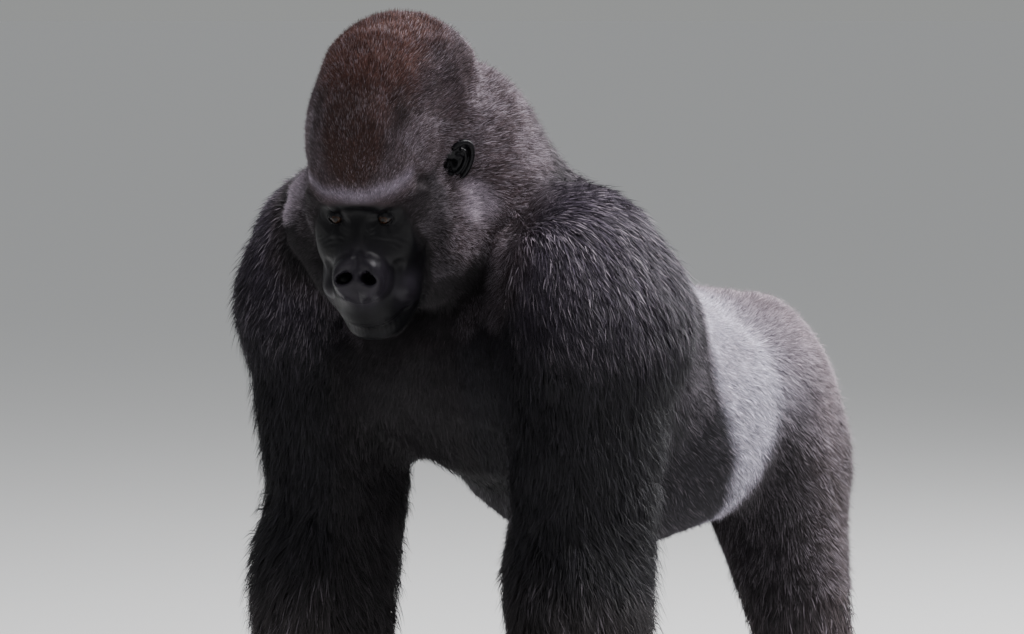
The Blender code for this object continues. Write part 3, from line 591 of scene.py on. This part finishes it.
# Fine creases: rings round the eyes, a fan over the nose, short furrows on the lips.
CREASE_DEPTH = 0.0004
eye_away = np.minimum(
    np.linalg.norm((face - EYE_PLACE) * [1, 0.6, 1.4], axis=1),
    np.linalg.norm((face - EYE_PLACE * [-1, 1, 1]) * [1, 0.6, 1.4], axis=1),
)
crease = np.sin(eye_away * 1300 + 2.5 * mottle(face, 0.02, 11)) * fade(0.036, 0.024, eye_away)
crease *= fade(0.012, 0.017, eye_away)
fan_away = np.hypot(face[:, 0] * 0.8, face[:, 2] + 0.075)
fan = np.sin(fan_away * 1150 + 3.0 * mottle(face, 0.018, 12))
fan *= fade(-0.040, -0.028, face[:, 2]) * fade(0.004, -0.010, face[:, 2])
fan *= fade(-0.2, 0.6, mottle(face, 0.016, 14))
crease += 1.4 * fan
crease *= fade(-0.09, -0.105, face[:, 1]) * fade(0.075, 0.06, np.abs(face[:, 0]))
furrow = np.sin(face[:, 0] * 1100 + 2.0 * mottle(face, 0.02, 13))
furrow *= bump_at(face[:, 2], -0.150, 0.020) * fade(-0.13, -0.145, face[:, 1])
face[:, 1] += CREASE_DEPTH * (crease + 0.6 * furrow)

# The sockets: the hide dips behind each eyeball's front and meets its lids all round.
SOCKET_LIFT = 0.0024
for side in (1, -1):
    out = face - EYE_PLACE * [side, 1, 1]
    away = np.maximum(np.linalg.norm(out, axis=1), 1e-6)
    off_axis = np.degrees(np.arccos(np.clip(-out[:, 1] / away, -1, 1)))
    wall = EYE_RADIUS - 0.0015 + (SOCKET_LIFT + 0.0015) * fade(50, 66, off_axis)
    sink = np.clip(away - wall, 0, None) * fade(0.0300, 0.0200, away) * fade(100, 72, off_axis)
    face -= (sink / away)[:, None] * out
set_vertices(skin_mesh, out_of_head(face))

bpy.context.view_layer.objects.active = skin
skin.select_set(True)
bpy.ops.object.mode_set(mode="EDIT")
bpy.ops.mesh.select_all(action="SELECT")
bpy.ops.uv.smart_project(angle_limit=math.radians(66), island_margin=0.002)
bpy.ops.object.mode_set(mode="OBJECT")
skin_mesh = skin.data
skin_mesh.uv_layers[0].name = "OFBake"
skin_mesh.shade_smooth()


def paint_vertices(mesh, colours):
    """Stores a colour for every vertex under the name both coat and skin finishes read."""
    layer = mesh.color_attributes.new("coat_colour", "FLOAT_COLOR", "POINT")
    rgba = np.ones((len(mesh.vertices), 4), np.float32)
    rgba[:, :3] = colours
    layer.data.foreach_set("color", rgba.ravel())


def paint_values(mesh, name, values):
    """Stores a number for every vertex under the given name."""
    layer = mesh.attributes.new(name, "FLOAT", "POINT")
    layer.data.foreach_set("value", np.asarray(values, np.float32))


UNDER_COAT_SHADE = 0.75  # the hide's brightness beside that of the hair on it
FACE_SHINE = 0.78  # of the muzzle's shine
skin_points = vertex_array(skin_mesh)
skin_normals = vertex_array(skin_mesh, "normal")
paint_vertices(skin_mesh, coat_colour(skin_points, skin_normals) * UNDER_COAT_SHADE)
smooth_skin = FACE_SHINE + (1 - FACE_SHINE) * muzzle_gloss_and_sheen_of(skin_points)
paint_values(skin_mesh, "bare", bare_of(skin_points, skin_normals) * smooth_skin)


def node_in(tree, kind, place, **values):
    """A node of the given kind, its sockets or settings set by name."""
    node = tree.nodes.new(kind)
    node.location = place
    for key, value in values.items():
        if key in node.inputs:
            node.inputs[key].default_value = value
        else:
            setattr(node, key.lower(), value)
    return node


def texture_in(tree, place, kind="ShaderNodeTexNoise", **values):
    """A texture node that reads the piece's Object coordinates."""
    where = node_in(tree, "ShaderNodeTexCoord", (place[0] - 200, place[1]))
    texture = node_in(tree, kind, place, **values)
    tree.links.new(where.outputs["Object"], texture.inputs["Vector"])
    return texture


def vary_colour(tree, shader, texture, darkest, lightest):
    """The painted colour, darker and lighter by a texture, as the shader's colour."""
    colour = node_in(tree, "ShaderNodeAttribute", (-900, 300))
    colour.attribute_name = "coat_colour"
    shade = node_in(tree, "ShaderNodeMapRange", (-900, 100))
    shade.inputs["To Min"].default_value = darkest
    shade.inputs["To Max"].default_value = lightest
    tree.links.new(texture.outputs["Fac"], shade.inputs["Value"])
    tint = node_in(tree, "ShaderNodeVectorMath", (-650, 300), operation="SCALE")
    tree.links.new(colour.outputs["Color"], tint.inputs[0])
    tree.links.new(shade.outputs["Result"], tint.inputs["Scale"])
    tree.links.new(tint.outputs["Vector"], shader.inputs["Base Color"])


def raise_grain(tree, shader, height, strength, distance):
    """Bump from a height socket."""
    bump = node_in(tree, "ShaderNodeBump", (-500, -400), Strength=strength, Distance=distance)
    tree.links.new(height, bump.inputs["Height"])
    tree.links.new(bump.outputs["Normal"], shader.inputs["Normal"])


def skin_finish():
    """Black hide: fine pores and creases and a shine where bare, dull under the hair."""
    finish, tree, shader = new_finish("hide", specular=0.14)
    patches = texture_in(tree, (-1100, -100), Scale=38.0, Detail=5.0)
    pores = texture_in(tree, (-1100, -350), "ShaderNodeTexVoronoi", Scale=900.0)
    creases = texture_in(tree, (-1100, -600), Scale=190.0, Detail=4.0)
    vary_colour(tree, shader, patches, 0.6, 1.5)
    bare = node_in(tree, "ShaderNodeAttribute", (-900, 0))
    bare.attribute_name = "bare"
    rough = node_in(tree, "ShaderNodeMapRange", (-650, 0))
    rough.inputs["To Min"].default_value = 0.85
    rough.inputs["To Max"].default_value = 0.26
    tree.links.new(bare.outputs["Fac"], rough.inputs["Value"])
    tree.links.new(rough.outputs["Result"], shader.inputs["Roughness"])
    relief = node_in(tree, "ShaderNodeMath", (-850, -400), operation="MULTIPLY_ADD")
    relief.inputs[1].default_value = 0.6
    tree.links.new(pores.outputs["Distance"], relief.inputs[0])
    tree.links.new(creases.outputs["Fac"], relief.inputs[2])
    raise_grain(tree, shader, relief.outputs[0], strength=0.45, distance=0.0006)
    return finish


HIDE = skin_finish()
skin_mesh.materials.clear()
skin_mesh.materials.append(HIDE)
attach(skin, "root")
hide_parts(*FLESH)


# ---------------------------------------------------------------- eyes
# Dark brown eyes with almost black whites, painted darker still as shade under the brow, small for
# the head and set deep under the brow.
# Each is a whole wet ball with a clear bulge over the iris. Thick lids of hide lie on the ball.
CORNEA = math.radians(34)  # half angle of the bulge
CORNEA_RISE = 0.0011
GAZE_UP = math.radians(10)
LID_RADIUS = EYE_RADIUS + 0.0007
LID_THICKNESS = 0.0012
LID_OPENING = 26  # degrees up and down from the middle of the slit
SLIT_HALF_WIDTH = 58  # degrees aside, where the lids meet
LID_REACHES_BACK = 0.004
LID_TURN = math.radians(-5)  # the upper lid hangs further than the lower one rises


def head_place(side, place):
    return head_frame @ Matrix.Translation((place[0] * side, place[1], place[2]))


def ramp_between(tree, place, stops):
    """A colour ramp node from (position, colour) stops."""
    node = tree.nodes.new("ShaderNodeValToRGB")
    node.location = place
    while len(node.color_ramp.elements) < len(stops):
        node.color_ramp.elements.new(0.5)
    for element, (position, colour) in zip(node.color_ramp.elements, stops):
        element.position = position
        element.color = (*colour, 1)
    return node


def eye_finish():
    """Pupil, streaked iris and dark white, told apart by the angle from the gaze."""
    finish, tree, shader = new_finish("wet_eye", specular=0.22, roughness=0.08)
    gaze = node_in(tree, "ShaderNodeAttribute", (-1100, 200))
    gaze.attribute_name = "from_gaze"
    streaks = texture_in(tree, (-1100, 0), Scale=900.0, Detail=3.0)
    wander = node_in(tree, "ShaderNodeMath", (-850, 150), operation="MULTIPLY_ADD")
    wander.inputs[1].default_value = 0.04
    tree.links.new(streaks.outputs["Fac"], wander.inputs[0])
    tree.links.new(gaze.outputs["Fac"], wander.inputs[2])
    # painted shade: iris and whites are darker than their own colour, for the shade under the brow
    ramp = ramp_between(tree, (-600, 200), (
        (0.08, (0.002, 0.0015, 0.001)), (0.10, (0.018, 0.008, 0.004)),
        (0.165, (0.026, 0.012, 0.006)), (0.19, (0.003, 0.002, 0.002)),
        (0.25, (0.016, 0.010, 0.008)),
    ))
    tree.links.new(wander.outputs[0], ramp.inputs["Fac"])
    tree.links.new(ramp.outputs["Color"], shader.inputs["Base Color"])
    return finish


def mesh_piece(name, bm):
    """A mesh object from a bmesh, riding on the body."""
    mesh = bpy.data.meshes.new(name)
    bm.to_mesh(mesh)
    bm.free()
    piece = bpy.data.objects.new(name, mesh)
    bpy.context.scene.collection.objects.link(piece)
    mesh.shade_smooth()
    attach(piece, "root")
    return piece


def thicken(piece, thickness, offset):
    """Gives a sheet its thickness and rounds it."""
    wall = piece.modifiers.new("thicken", "SOLIDIFY")
    wall.thickness = thickness
    wall.offset = offset
    soften = piece.modifiers.new("soften", "SUBSURF")
    soften.levels = soften.render_levels = 1
    finish_modifiers(piece).shade_smooth()


def wear_hide(piece, tone):
    """The bare hide's colour and finish, a little lighter or darker by tone."""
    mesh = piece.data
    paint_vertices(mesh, np.tile(BARE_SKIN * tone, (len(mesh.vertices), 1)))
    paint_values(mesh, "bare", np.ones(len(mesh.vertices)))
    mesh.materials.clear()
    mesh.materials.append(HIDE)


SIDES = {"left": 1, "right": -1}
EYE_FINISH = eye_finish()
for name, side in SIDES.items():
    ball = bmesh.new()
    to_front = Matrix.Rotation(math.radians(90) - GAZE_UP, 4, "X")
    bmesh.ops.create_uvsphere(ball, u_segments=48, v_segments=36, radius=EYE_RADIUS)
    angles = []
    for vert in ball.verts:
        angle = vert.co.angle(Vector((0, 0, 1)))
        if angle < CORNEA:
            vert.co *= 1 + CORNEA_RISE * (1 - (angle / CORNEA) ** 2) / EYE_RADIUS
        angles.append(angle / math.pi)
    bmesh.ops.transform(ball, matrix=head_place(side, EYE_PLACE) @ to_front, verts=ball.verts)
    eye = mesh_piece("wet_eye_" + name, ball)
    paint_values(eye.data, "from_gaze", angles)
    eye.data.materials.append(EYE_FINISH)
    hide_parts("eye_" + name)

    # The lids are one shell, open along a slit whose ends are the corners of the eye.
    lids = bmesh.new()
    bmesh.ops.create_uvsphere(lids, u_segments=72, v_segments=36, radius=LID_RADIUS)
    bmesh.ops.rotate(lids, matrix=Matrix.Rotation(math.radians(90), 3, "Y"), verts=lids.verts)
    unwanted = []
    for face in lids.faces:
        middle = face.calc_center_median()
        opening = math.degrees(math.atan2(middle.z, -middle.y))
        aside = math.degrees(math.asin(max(-1, min(1, middle.x / LID_RADIUS))))
        slit = LID_OPENING * (1 - (aside / SLIT_HALF_WIDTH) ** 2)
        if abs(opening) < slit or middle.y > LID_REACHES_BACK:
            unwanted.append(face)
    bmesh.ops.delete(lids, geom=unwanted, context="FACES")
    bmesh.ops.transform(
        lids, matrix=head_place(side, EYE_PLACE) @ Matrix.Rotation(LID_TURN, 4, "X"),
        verts=lids.verts,
    )
    lid = mesh_piece("lids_" + name, lids)
    thicken(lid, LID_THICKNESS, offset=1)
    wear_hide(lid, 1.0)


# ---------------------------------------------------------------- ears
# Small bare ears close to the head, facing forward: a thin shell with a thick rolled rim, an
# inner fold, a flap before the deep hollow and a short lobe. They grow straight from the skin.
EAR_PLACES = {"left": (0.107, 0.009, 0.008), "right": (-0.078, 0.050, 0.000)}
EAR_FLARE = math.radians(60)
EAR_TIP_BACK = math.radians(30)
EAR_HALF_SIZE = (0.0190, 0.0335)  # front to back, and up
EAR_VOXEL = 0.0012
EAR_MASSES = {
    "shell": ((0.000, 0.000, 0.000), (0.0042, 0.0195, 0.0335)),
    "front flap": ((0.0050, -0.0130, -0.0060), (0.0062, 0.0040, 0.0075)),
    "back flap": ((0.0050, -0.0020, -0.0190), (0.0045, 0.0055, 0.0040)),
    "lobe": ((0.0060, 0.0010, -0.0325), (0.0046, 0.0078, 0.0070)),
    "root": ((-0.0120, -0.0040, 0.0000), (0.0160, 0.0120, 0.0240)),
}
EAR_ARCS = {  # (start and sweep in degrees, share of the ear's size, out, radius at start and end)
    "rim": (140, -265, 1.00, 0.0080, 0.0044, 0.0038),
    "inner fold": (95, -150, 0.60, 0.0058, 0.0024, 0.0034),
    "crossing fold": (120, -60, 0.42, 0.0050, 0.0022, 0.0020),
}
EAR_STEPS = 36
EAR_HOLLOW = ((0.004, -0.0045, -0.0060), 0.0100, 0.0090)  # place, reach and depth


def ear_ball(bm, centre, radii):
    place = Matrix.Translation(centre) @ Matrix.Diagonal((*radii, 1))
    bmesh.ops.create_icosphere(bm, subdivisions=3, radius=1, matrix=place)


for name, side in SIDES.items():
    masses = bmesh.new()
    for centre, radii in EAR_MASSES.values():
        ear_ball(masses, centre, radii)
    for start, sweep, size, out, thick, thin_end in EAR_ARCS.values():
        for step in range(EAR_STEPS + 1):
            turn = math.radians(start + sweep * step / EAR_STEPS)
            back = EAR_HALF_SIZE[0] * size * math.cos(turn)
            up = EAR_HALF_SIZE[1] * size * math.sin(turn)
            radius = thick + (thin_end - thick) * step / EAR_STEPS
            ear_ball(masses, (out, back, up), (radius,) * 3)
    ear = mesh_piece("bare_ear_" + name, masses)
    melt = ear.modifiers.new("melt", "REMESH")
    melt.mode = "VOXEL"
    melt.voxel_size = EAR_VOXEL
    ease = ear.modifiers.new("ease", "SMOOTH")
    ease.iterations = 4
    ear_mesh = finish_modifiers(ear)
    points = vertex_array(ear_mesh)
    place, reach, deep = EAR_HOLLOW
    facing = vertex_array(ear_mesh, "normal")[:, 0] > 0
    points[:, 0] -= deep * near(points, np.array(place), reach) * facing
    set_vertices(ear_mesh, points)
    turn = (
        head_frame @ Matrix.Translation(EAR_PLACES[name])
        @ Matrix.Rotation(-side * EAR_FLARE, 4, "Z") @ Matrix.Rotation(-EAR_TIP_BACK, 4, "X")
        @ Matrix.Diagonal((side, 1, 1, 1))
    )
    ear_mesh.transform(turn)
    if side < 0:
        ear_mesh.flip_normals()
    ear_mesh.shade_smooth()
    wear_hide(ear, 1.1)
    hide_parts("ear_" + name)


# ---------------------------------------------------------------- nails
# Flat black nails like a person's, on toes, thumbs and the folded fingertips. Each is a thin
# arched plate of horn that grows out of the hide.
NAIL_HORN = (0.0075, 0.0065, 0.0065)
NAIL_RISE = 0.0011
NAIL_THICKNESS = 0.0009
WRIST_PLACE = Vector((0.222, -0.2801, 0))
ANKLE_PLACE = Vector((0.19, 0.4999, 0))
FOOT_TURN_OUT = math.radians(14)
NAIL_SEARCH = 0.03  # how far out and in of a nail's given place the hide is looked for
# In the frame of hand or foot: (place within the tip, way the tip points, way the nail faces,
# half width, half length)
HAND_NAILS = [
    ((-0.060, -0.024, 0.048), (0.05, -0.40, -0.90), (-0.35, -0.85, 0.35), 0.0056, 0.0062),
] + [
    (((finger - 1.5) * 0.0280, 0.004, 0.034), (0, 0.74, 0.67), (0, 0.67, -0.74), 0.0058, 0.0062)
    for finger in range(4)
]
TOE_REACH = (-0.012, 0.0, 0.004, 0.0)
FOOT_NAILS = [
    ((-0.077, -0.164, 0.018), (-0.30, -0.95, -0.12), (-0.10, -0.20, 0.97), 0.0075, 0.0072),
] + [
    (
        ((0.046 - toe * 0.023) * 1.05, -0.219 - reach, 0.0135),
        (0, -0.97, -0.25), (0, -0.25, 0.97), 0.0050, 0.0054,
    )
    for toe, reach in enumerate(TOE_REACH)
]


def horn_finish():
    """Dark horn with faint lengthwise streaks and a dull polish."""
    finish, tree, shader = new_finish("nail_horn", specular=0.3, roughness=0.42)
    streaks = texture_in(tree, (-950, 0), Scale=420.0, Detail=3.0)
    ramp = ramp_between(tree, (-700, 0), (
        (0.35, NAIL_HORN), (0.75, tuple(2.0 * value for value in NAIL_HORN)),
    ))
    tree.links.new(streaks.outputs["Fac"], ramp.inputs["Fac"])
    tree.links.new(ramp.outputs["Color"], shader.inputs["Base Color"])
    raise_grain(tree, shader, streaks.outputs["Fac"], strength=0.4, distance=0.0003)
    return finish


NAIL_FINISH = horn_finish()
hide_bm = bmesh.new()
hide_bm.from_mesh(skin_mesh)
hide = BVHTree.FromBMesh(hide_bm)
hide_bm.free()
for limb_name, nails in (("hand", HAND_NAILS), ("foot", FOOT_NAILS)):
    for name, side in SIDES.items():
        if limb_name == "hand":
            base = Matrix.Translation((MIDDLE + side * WRIST_PLACE.x, WRIST_PLACE.y, 0))
        else:
            step = RIGHT_LEG_STEP if side < 0 else 0
            base = Matrix.Translation((MIDDLE + side * ANKLE_PLACE.x, ANKLE_PLACE.y + step, 0))
            base = base @ Matrix.Rotation(side * FOOT_TURN_OUT, 4, "Z")
        base = base @ Matrix.Diagonal((side, 1, 1, 1))
        plates = bmesh.new()
        for place, along, faces, half_width, half_length in nails:
            out = (base.to_3x3() @ Vector(faces)).normalized()
            along = (base.to_3x3() @ Vector(along)).normalized()
            across = along.cross(out).normalized()
            along = out.cross(across)
            made = bmesh.ops.create_grid(plates, x_segments=6, y_segments=6, size=1)
            for vert in made["verts"]:
                u, v = vert.co.x, vert.co.y
                length = half_length * (1 - (0.45 if v > 0 else 0.15) * u * u)
                start = base @ Vector(place) + across * (u * half_width) + along * (v * length)
                outside = start + out * NAIL_SEARCH
                landing = hide.ray_cast(outside, -out, 2 * NAIL_SEARCH)[0] or start
                vert.co = landing + out * (NAIL_RISE * (1 - 0.9 * u * u) * (0.6 + 0.4 * v))
        bmesh.ops.recalc_face_normals(plates, faces=plates.faces)
        nail = mesh_piece(f"nails_{limb_name}_{name}", plates)
        thicken(nail, NAIL_THICKNESS, offset=-1)
        nail.data.materials.append(NAIL_FINISH)


# ---------------------------------------------------------------- coat
# Hair in thousands of thin tapering locks rooted in the hide: short and dense on the head,
# shaggy on shoulders and arms, clipped-looking on the saddle. Long locks bend along the body.
COAT = {  # piece: (finish, places of the lie tables it covers, hairs in thousands, width, bends)
    "coat_crown": ("brown_coat", ("crown", "front of the crown", "forehead", "top of the brow",
                   "end of the brow", "side of the crown"), 190, 0.00100, 0),
    "coat_cheeks": ("brown_coat", ("temple", "before the ear", "cheek", "jowl", "under the jaw",
                    "edge of the face", "chin"), 230, 0.00095, 0),
    "coat_neck": ("brown_coat", ("nape", "side of the neck", "behind the ear", "withers"),
                  165, 0.00120, 0),
    "coat_chest": ("black_coat", ("chest", "breast"), 40, 0.0015, 0),
    "coat_back": ("silver_coat", ("middle of the back", "saddle", "saddle's side",
                  "behind the shoulder"), 130, 0.0013, 0),
    "coat_rump": ("silver_coat", ("top of the rump", "rump", "foot of the rump"), 85, 0.0013, 0),
    "coat_belly": ("silver_coat", ("flank", "belly", "side of the belly"), 50, 0.0016, 0),
    "coat_shoulder": ("black_coat", ("top of the shoulder", "shoulder", "front of the shoulder",
                      "back of the shoulder"), 33, 0.0013, 1),
    "coat_upper_arm": ("black_coat", ("outer upper arm", "front of the upper arm",
                       "inner upper arm", "back of the upper arm"), 28, 0.0014, 1),
    "coat_forearm": ("black_coat", ("outer forearm", "front of the forearm",
                     "back of the forearm", "inner forearm", "wrist", "back of the hand",
                     "knuckles"), 25, 0.0014, 1),
    "coat_thigh": ("grey_coat", ("front of the thigh", "outer thigh", "back of the thigh",
                   "inner thigh"), 60, 0.0013, 0),
    "coat_shin": ("grey_coat", ("shin", "calf", "ankle", "top of the foot", "toes"),
                  12, 0.0016, 1),
}
PAIRED = ("coat_shoulder", "coat_upper_arm", "coat_forearm", "coat_thigh", "coat_shin")
PALE_HAIR = np.array([0.52, 0.45, 0.52])
PALE_SHARE = {
    "coat_crown": 0.08, "coat_cheeks": 0.26, "coat_neck": 0.26, "coat_back": 0.30,
    "coat_rump": 0.26, "coat_thigh": 0.16, "coat_shoulder": 0.14, "coat_upper_arm": 0.06,
    "coat_forearm": 0.05, "coat_shin": 0.08, "coat_belly": 0.06, "coat_chest": 0.02,
}
PALE_TUFT = 1.5  # grizzled hairs cling together in wider locks
PALE_STRENGTH = (0.3, 1.0)  # how far a pale lock's tip goes towards PALE_HAIR
PALE_FROM = 0.015  # coat darker than this has no pale locks
PALE_IN_FULL = 0.055  # and coat lighter than this has its pale locks at their palest
STRAY_SHARE = 0.12  # hairs that stand further out than their neighbours
STRAY_LIFT = 1.9
ROOT_DEPTH = 0.0008  # roots start this far under the hide
ROOT_SHADE = 0.45  # the roots' brightness beside that of the tips
TIP_LIGHTER = 1.35
TONE_SPREAD = 0.45
LENGTH_SPREAD = (0.62, 1.10)
LIFT_SPREAD = (0.55, 1.15)
WIDTH_SPREAD = (0.65, 1.15)
RING_WIDTHS = (1.0, 0.95, 0.7)  # of a lock, from root towards tip
EAR_CLEAR = np.array([0.020, 0.018, 0.028])  # half size of the hide that an ear covers
PATCH = 0.003  # a lock's patch on the hide's unwrap


def nearest_lie(points):
    """Which place of the lie tables is nearest, as its name, and the side it is on."""
    places = lie_table()[0]
    names, sides = [], []
    for table in (BODY_LIE, HEAD_LIE):
        for name, row in table.items():
            for side in (1, -1) if row[0][0] else (1,):
                names.append(name)
                sides.append(side)
    best = np.empty(len(points), int)
    for start in range(0, len(points), AT_A_TIME):
        part = slice(start, start + AT_A_TIME)
        away = ((points[part, None] - places[None]) ** 2).sum(axis=2)
        best[part] = away.argmin(axis=1)
    return best, names, sides


def scatter_roots(mesh, faces, count, random):
    """Evenly spread places on the given triangles: points, normals and unwrap places."""
    corners = np.empty(len(mesh.loops), np.int32)
    mesh.loops.foreach_get("vertex_index", corners)
    corners = corners.reshape(-1, 3)[faces]
    sheet = np.empty(len(mesh.loops) * 2, np.float32)
    mesh.uv_layers["OFBake"].data.foreach_get("uv", sheet)
    sheet = sheet.reshape(-1, 3, 2)[faces]
    a, b, c = (skin_points[corners[:, k]] for k in range(3))
    area = np.linalg.norm(np.cross(b - a, c - a), axis=1)
    chosen = np.searchsorted(np.cumsum(area) / area.sum(), random.random(count))
    u, v = random.random(count), random.random(count)
    over = u + v > 1
    u[over], v[over] = 1 - u[over], 1 - v[over]
    share = np.stack([1 - u - v, u, v], axis=1)[:, :, None]
    corners, sheet = corners[chosen], sheet[chosen]
    roots = (skin_points[corners] * share).sum(axis=1)
    normals = unit((skin_normals[corners] * share).sum(axis=1))
    return roots, normals, (sheet * share).sum(axis=1)


def grow(name, faces, count, width, bends, pale_share, seed):
    """One joined mesh of tapering locks rooted on the hide."""
    random = np.random.default_rng(seed)
    roots, normals, sheet = scatter_roots(skin_mesh, faces, count, random)
    bare = hairless(roots, normals)
    keep = random.random(len(roots)) > bare
    roots, normals, sheet, bare = roots[keep], normals[keep], sheet[keep], bare[keep]
    way, length, depth = lie_of(roots)
    way = unit(way - normals * (way * normals).sum(axis=1, keepdims=True))
    across = np.cross(normals, way)
    many = len(roots)
    swirl = 0.25 * mottle(roots, 0.014, 21) + 0.25 * mottle(roots, 0.045, 22)
    swirl += random.normal(0, 0.13, many)
    way, across = (
        way * np.cos(swirl)[:, None] + across * np.sin(swirl)[:, None],
        across * np.cos(swirl)[:, None] - way * np.sin(swirl)[:, None],
    )
    length *= (1 - 0.5 * bare) * random.uniform(*LENGTH_SPREAD, many)
    length *= 1 + 0.16 * mottle(roots, 0.020, 23)
    lift = np.arcsin(np.clip(depth / np.maximum(length, 1e-4), 0.10, 0.80))
    lift *= random.uniform(*LIFT_SPREAD, many) * (1 + 0.3 * mottle(roots, 0.016, 24))
    lift *= np.where(random.random(many) < STRAY_SHARE, STRAY_LIFT, 1)
    roll = random.uniform(-0.5, 0.5, many)[:, None]
    flat = across * np.cos(roll) + normals * np.sin(roll)
    base = coat_colour(roots, normals)
    pale = (random.random(many) < pale_share * (1 + 0.8 * mottle(roots, 0.03, 25)))[:, None]
    pale &= base.max(axis=1, keepdims=True) > PALE_FROM
    width = width * random.uniform(*WIDTH_SPREAD, many) * np.clip(length / 0.012, 0.5, 1)
    width *= np.where(pale[:, 0], PALE_TUFT, 1)
    sway = random.normal(0, 0.10, many)
    rings = bends + 1
    spot, points, slant = roots - normals * ROOT_DEPTH, [], lift * (1.4 if bends else 1.0)
    for ring in range(rings + 1):
        if ring < rings:
            half = 0.5 * width * RING_WIDTHS[ring]
            points += [spot - flat * half[:, None], spot + flat * half[:, None]]
            heading = way * np.cos(slant)[:, None] + normals * np.sin(slant)[:, None]
            spot = spot + (heading + across * (sway * ring)[:, None]) * (length / rings)[:, None]
            slant = slant - 0.9 * lift / max(bends, 1)
        else:
            points.append(spot)
    points = np.stack(points, axis=1)
    corner_count = points.shape[1]
    strip = []
    for ring in range(rings - 1):
        strip.append([2 * ring, 2 * ring + 1, 2 * ring + 3, 2 * ring + 2])
    strip.append([2 * rings - 2, 2 * rings - 1, 2 * rings])
    loop_order = np.array([corner for face in strip for corner in face])
    starts = np.cumsum([0] + [len(face) for face in strip])
    first = np.arange(many)[:, None]
    mesh = bpy.data.meshes.new(name)
    mesh.vertices.add(many * corner_count)
    mesh.loops.add(many * len(loop_order))
    mesh.polygons.add(many * len(strip))
    mesh.vertices.foreach_set("co", points.astype(np.float32).ravel())
    mesh.loops.foreach_set(
        "vertex_index", (first * corner_count + loop_order).astype(np.int32).ravel()
    )
    mesh.polygons.foreach_set(
        "loop_start", (first * len(loop_order) + starts[:-1]).astype(np.int32).ravel()
    )
    mesh.update(calc_edges=True)
    mesh.shade_smooth()

    patch = np.empty((corner_count, 2))
    for corner in range(corner_count):
        ring = corner // 2
        side = 0 if corner == corner_count - 1 else (corner % 2) * 2 - 1
        patch[corner] = (side * PATCH / 2, (ring / rings - 0.5) * PATCH)
    unwrap = mesh.uv_layers.new(name="OFBake")
    places = (sheet[:, None] + patch[None])[:, loop_order]
    unwrap.data.foreach_set("uv", places.astype(np.float32).ravel())

    strength = random.uniform(*PALE_STRENGTH, (many, 1))
    tone = random.lognormal(0, TONE_SPREAD, (many, 1))
    tone *= 1 + 0.15 * mottle(roots, 0.012, 26)[:, None]
    tone *= 1 + 0.30 * mottle(roots, 0.0045, 27)[:, None]
    tip = base * tone * TIP_LIGHTER
    grizzle = PALE_HAIR * np.clip(base.max(axis=1, keepdims=True) / PALE_IN_FULL, 0.15, 1)
    tip = np.where(pale, tip + (grizzle - tip) * strength, tip)
    along = np.minimum(np.arange(corner_count) // 2, rings) / rings
    depth_shade = ROOT_SHADE + (1 - ROOT_SHADE) * along
    along = along[None, :, None]
    colours = (base * tone)[:, None] * (1 - along) + tip[:, None] * along
    colours *= depth_shade[None, :, None]
    paint_vertices(mesh, colours.reshape(-1, 3))
    piece = bpy.data.objects.new(name, mesh)
    bpy.context.scene.collection.objects.link(piece)
    return piece


def hairless(points, normals):
    """1 where no lock grows: bare skin, and the hide that the ears cover."""
    local = in_head(points)
    bare = bare_of(points, normals)
    for ear in EAR_PLACES.values():
        shell = np.linalg.norm((local - ear) / EAR_CLEAR, axis=1)
        bare = np.maximum(bare, fade(1.05, 0.85, shell))
    return bare


def hair_finish(name, roughness):
    """Hair colour from root to tip, with a soft sheen and streaks along each lock."""
    finish, tree, shader = new_finish(name, specular=0.25, roughness=roughness)
    streaks = texture_in(tree, (-1100, 0), Scale=260.0, Detail=2.0)
    vary_colour(tree, shader, streaks, 0.65, 1.35)
    return finish


HAIR_FINISHES = {
    "brown_coat": hair_finish("brown_hair", 0.70),
    "black_coat": hair_finish("black_hair", 0.60),
    "silver_coat": hair_finish("silver_hair", 0.70),
    "grey_coat": hair_finish("grey_hair", 0.65),
}
corners = np.empty(len(skin_mesh.loops), np.int32)
skin_mesh.loops.foreach_get("vertex_index", corners)
middles = skin_points[corners.reshape(-1, 3)].mean(axis=1)
lie_index, lie_names, lie_sides = nearest_lie(middles)
for seed, (name, (finish, places, thousands, width, bends)) in enumerate(COAT.items()):
    for side in (1, -1) if name in PAIRED else (0,):
        rows = [
            row for row, place in enumerate(lie_names)
            if place in places and side in (0, lie_sides[row])
        ]
        faces = np.flatnonzero(np.isin(lie_index, rows))
        full_name = name + {0: "", 1: "_left", -1: "_right"}[side]
        piece = grow(
            full_name, faces, thousands * 1000, width, bends, PALE_SHARE[name],
            seed * 2 + (side < 0),
        )
        piece.data.materials.append(HAIR_FINISHES[finish])
        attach(piece, "root")
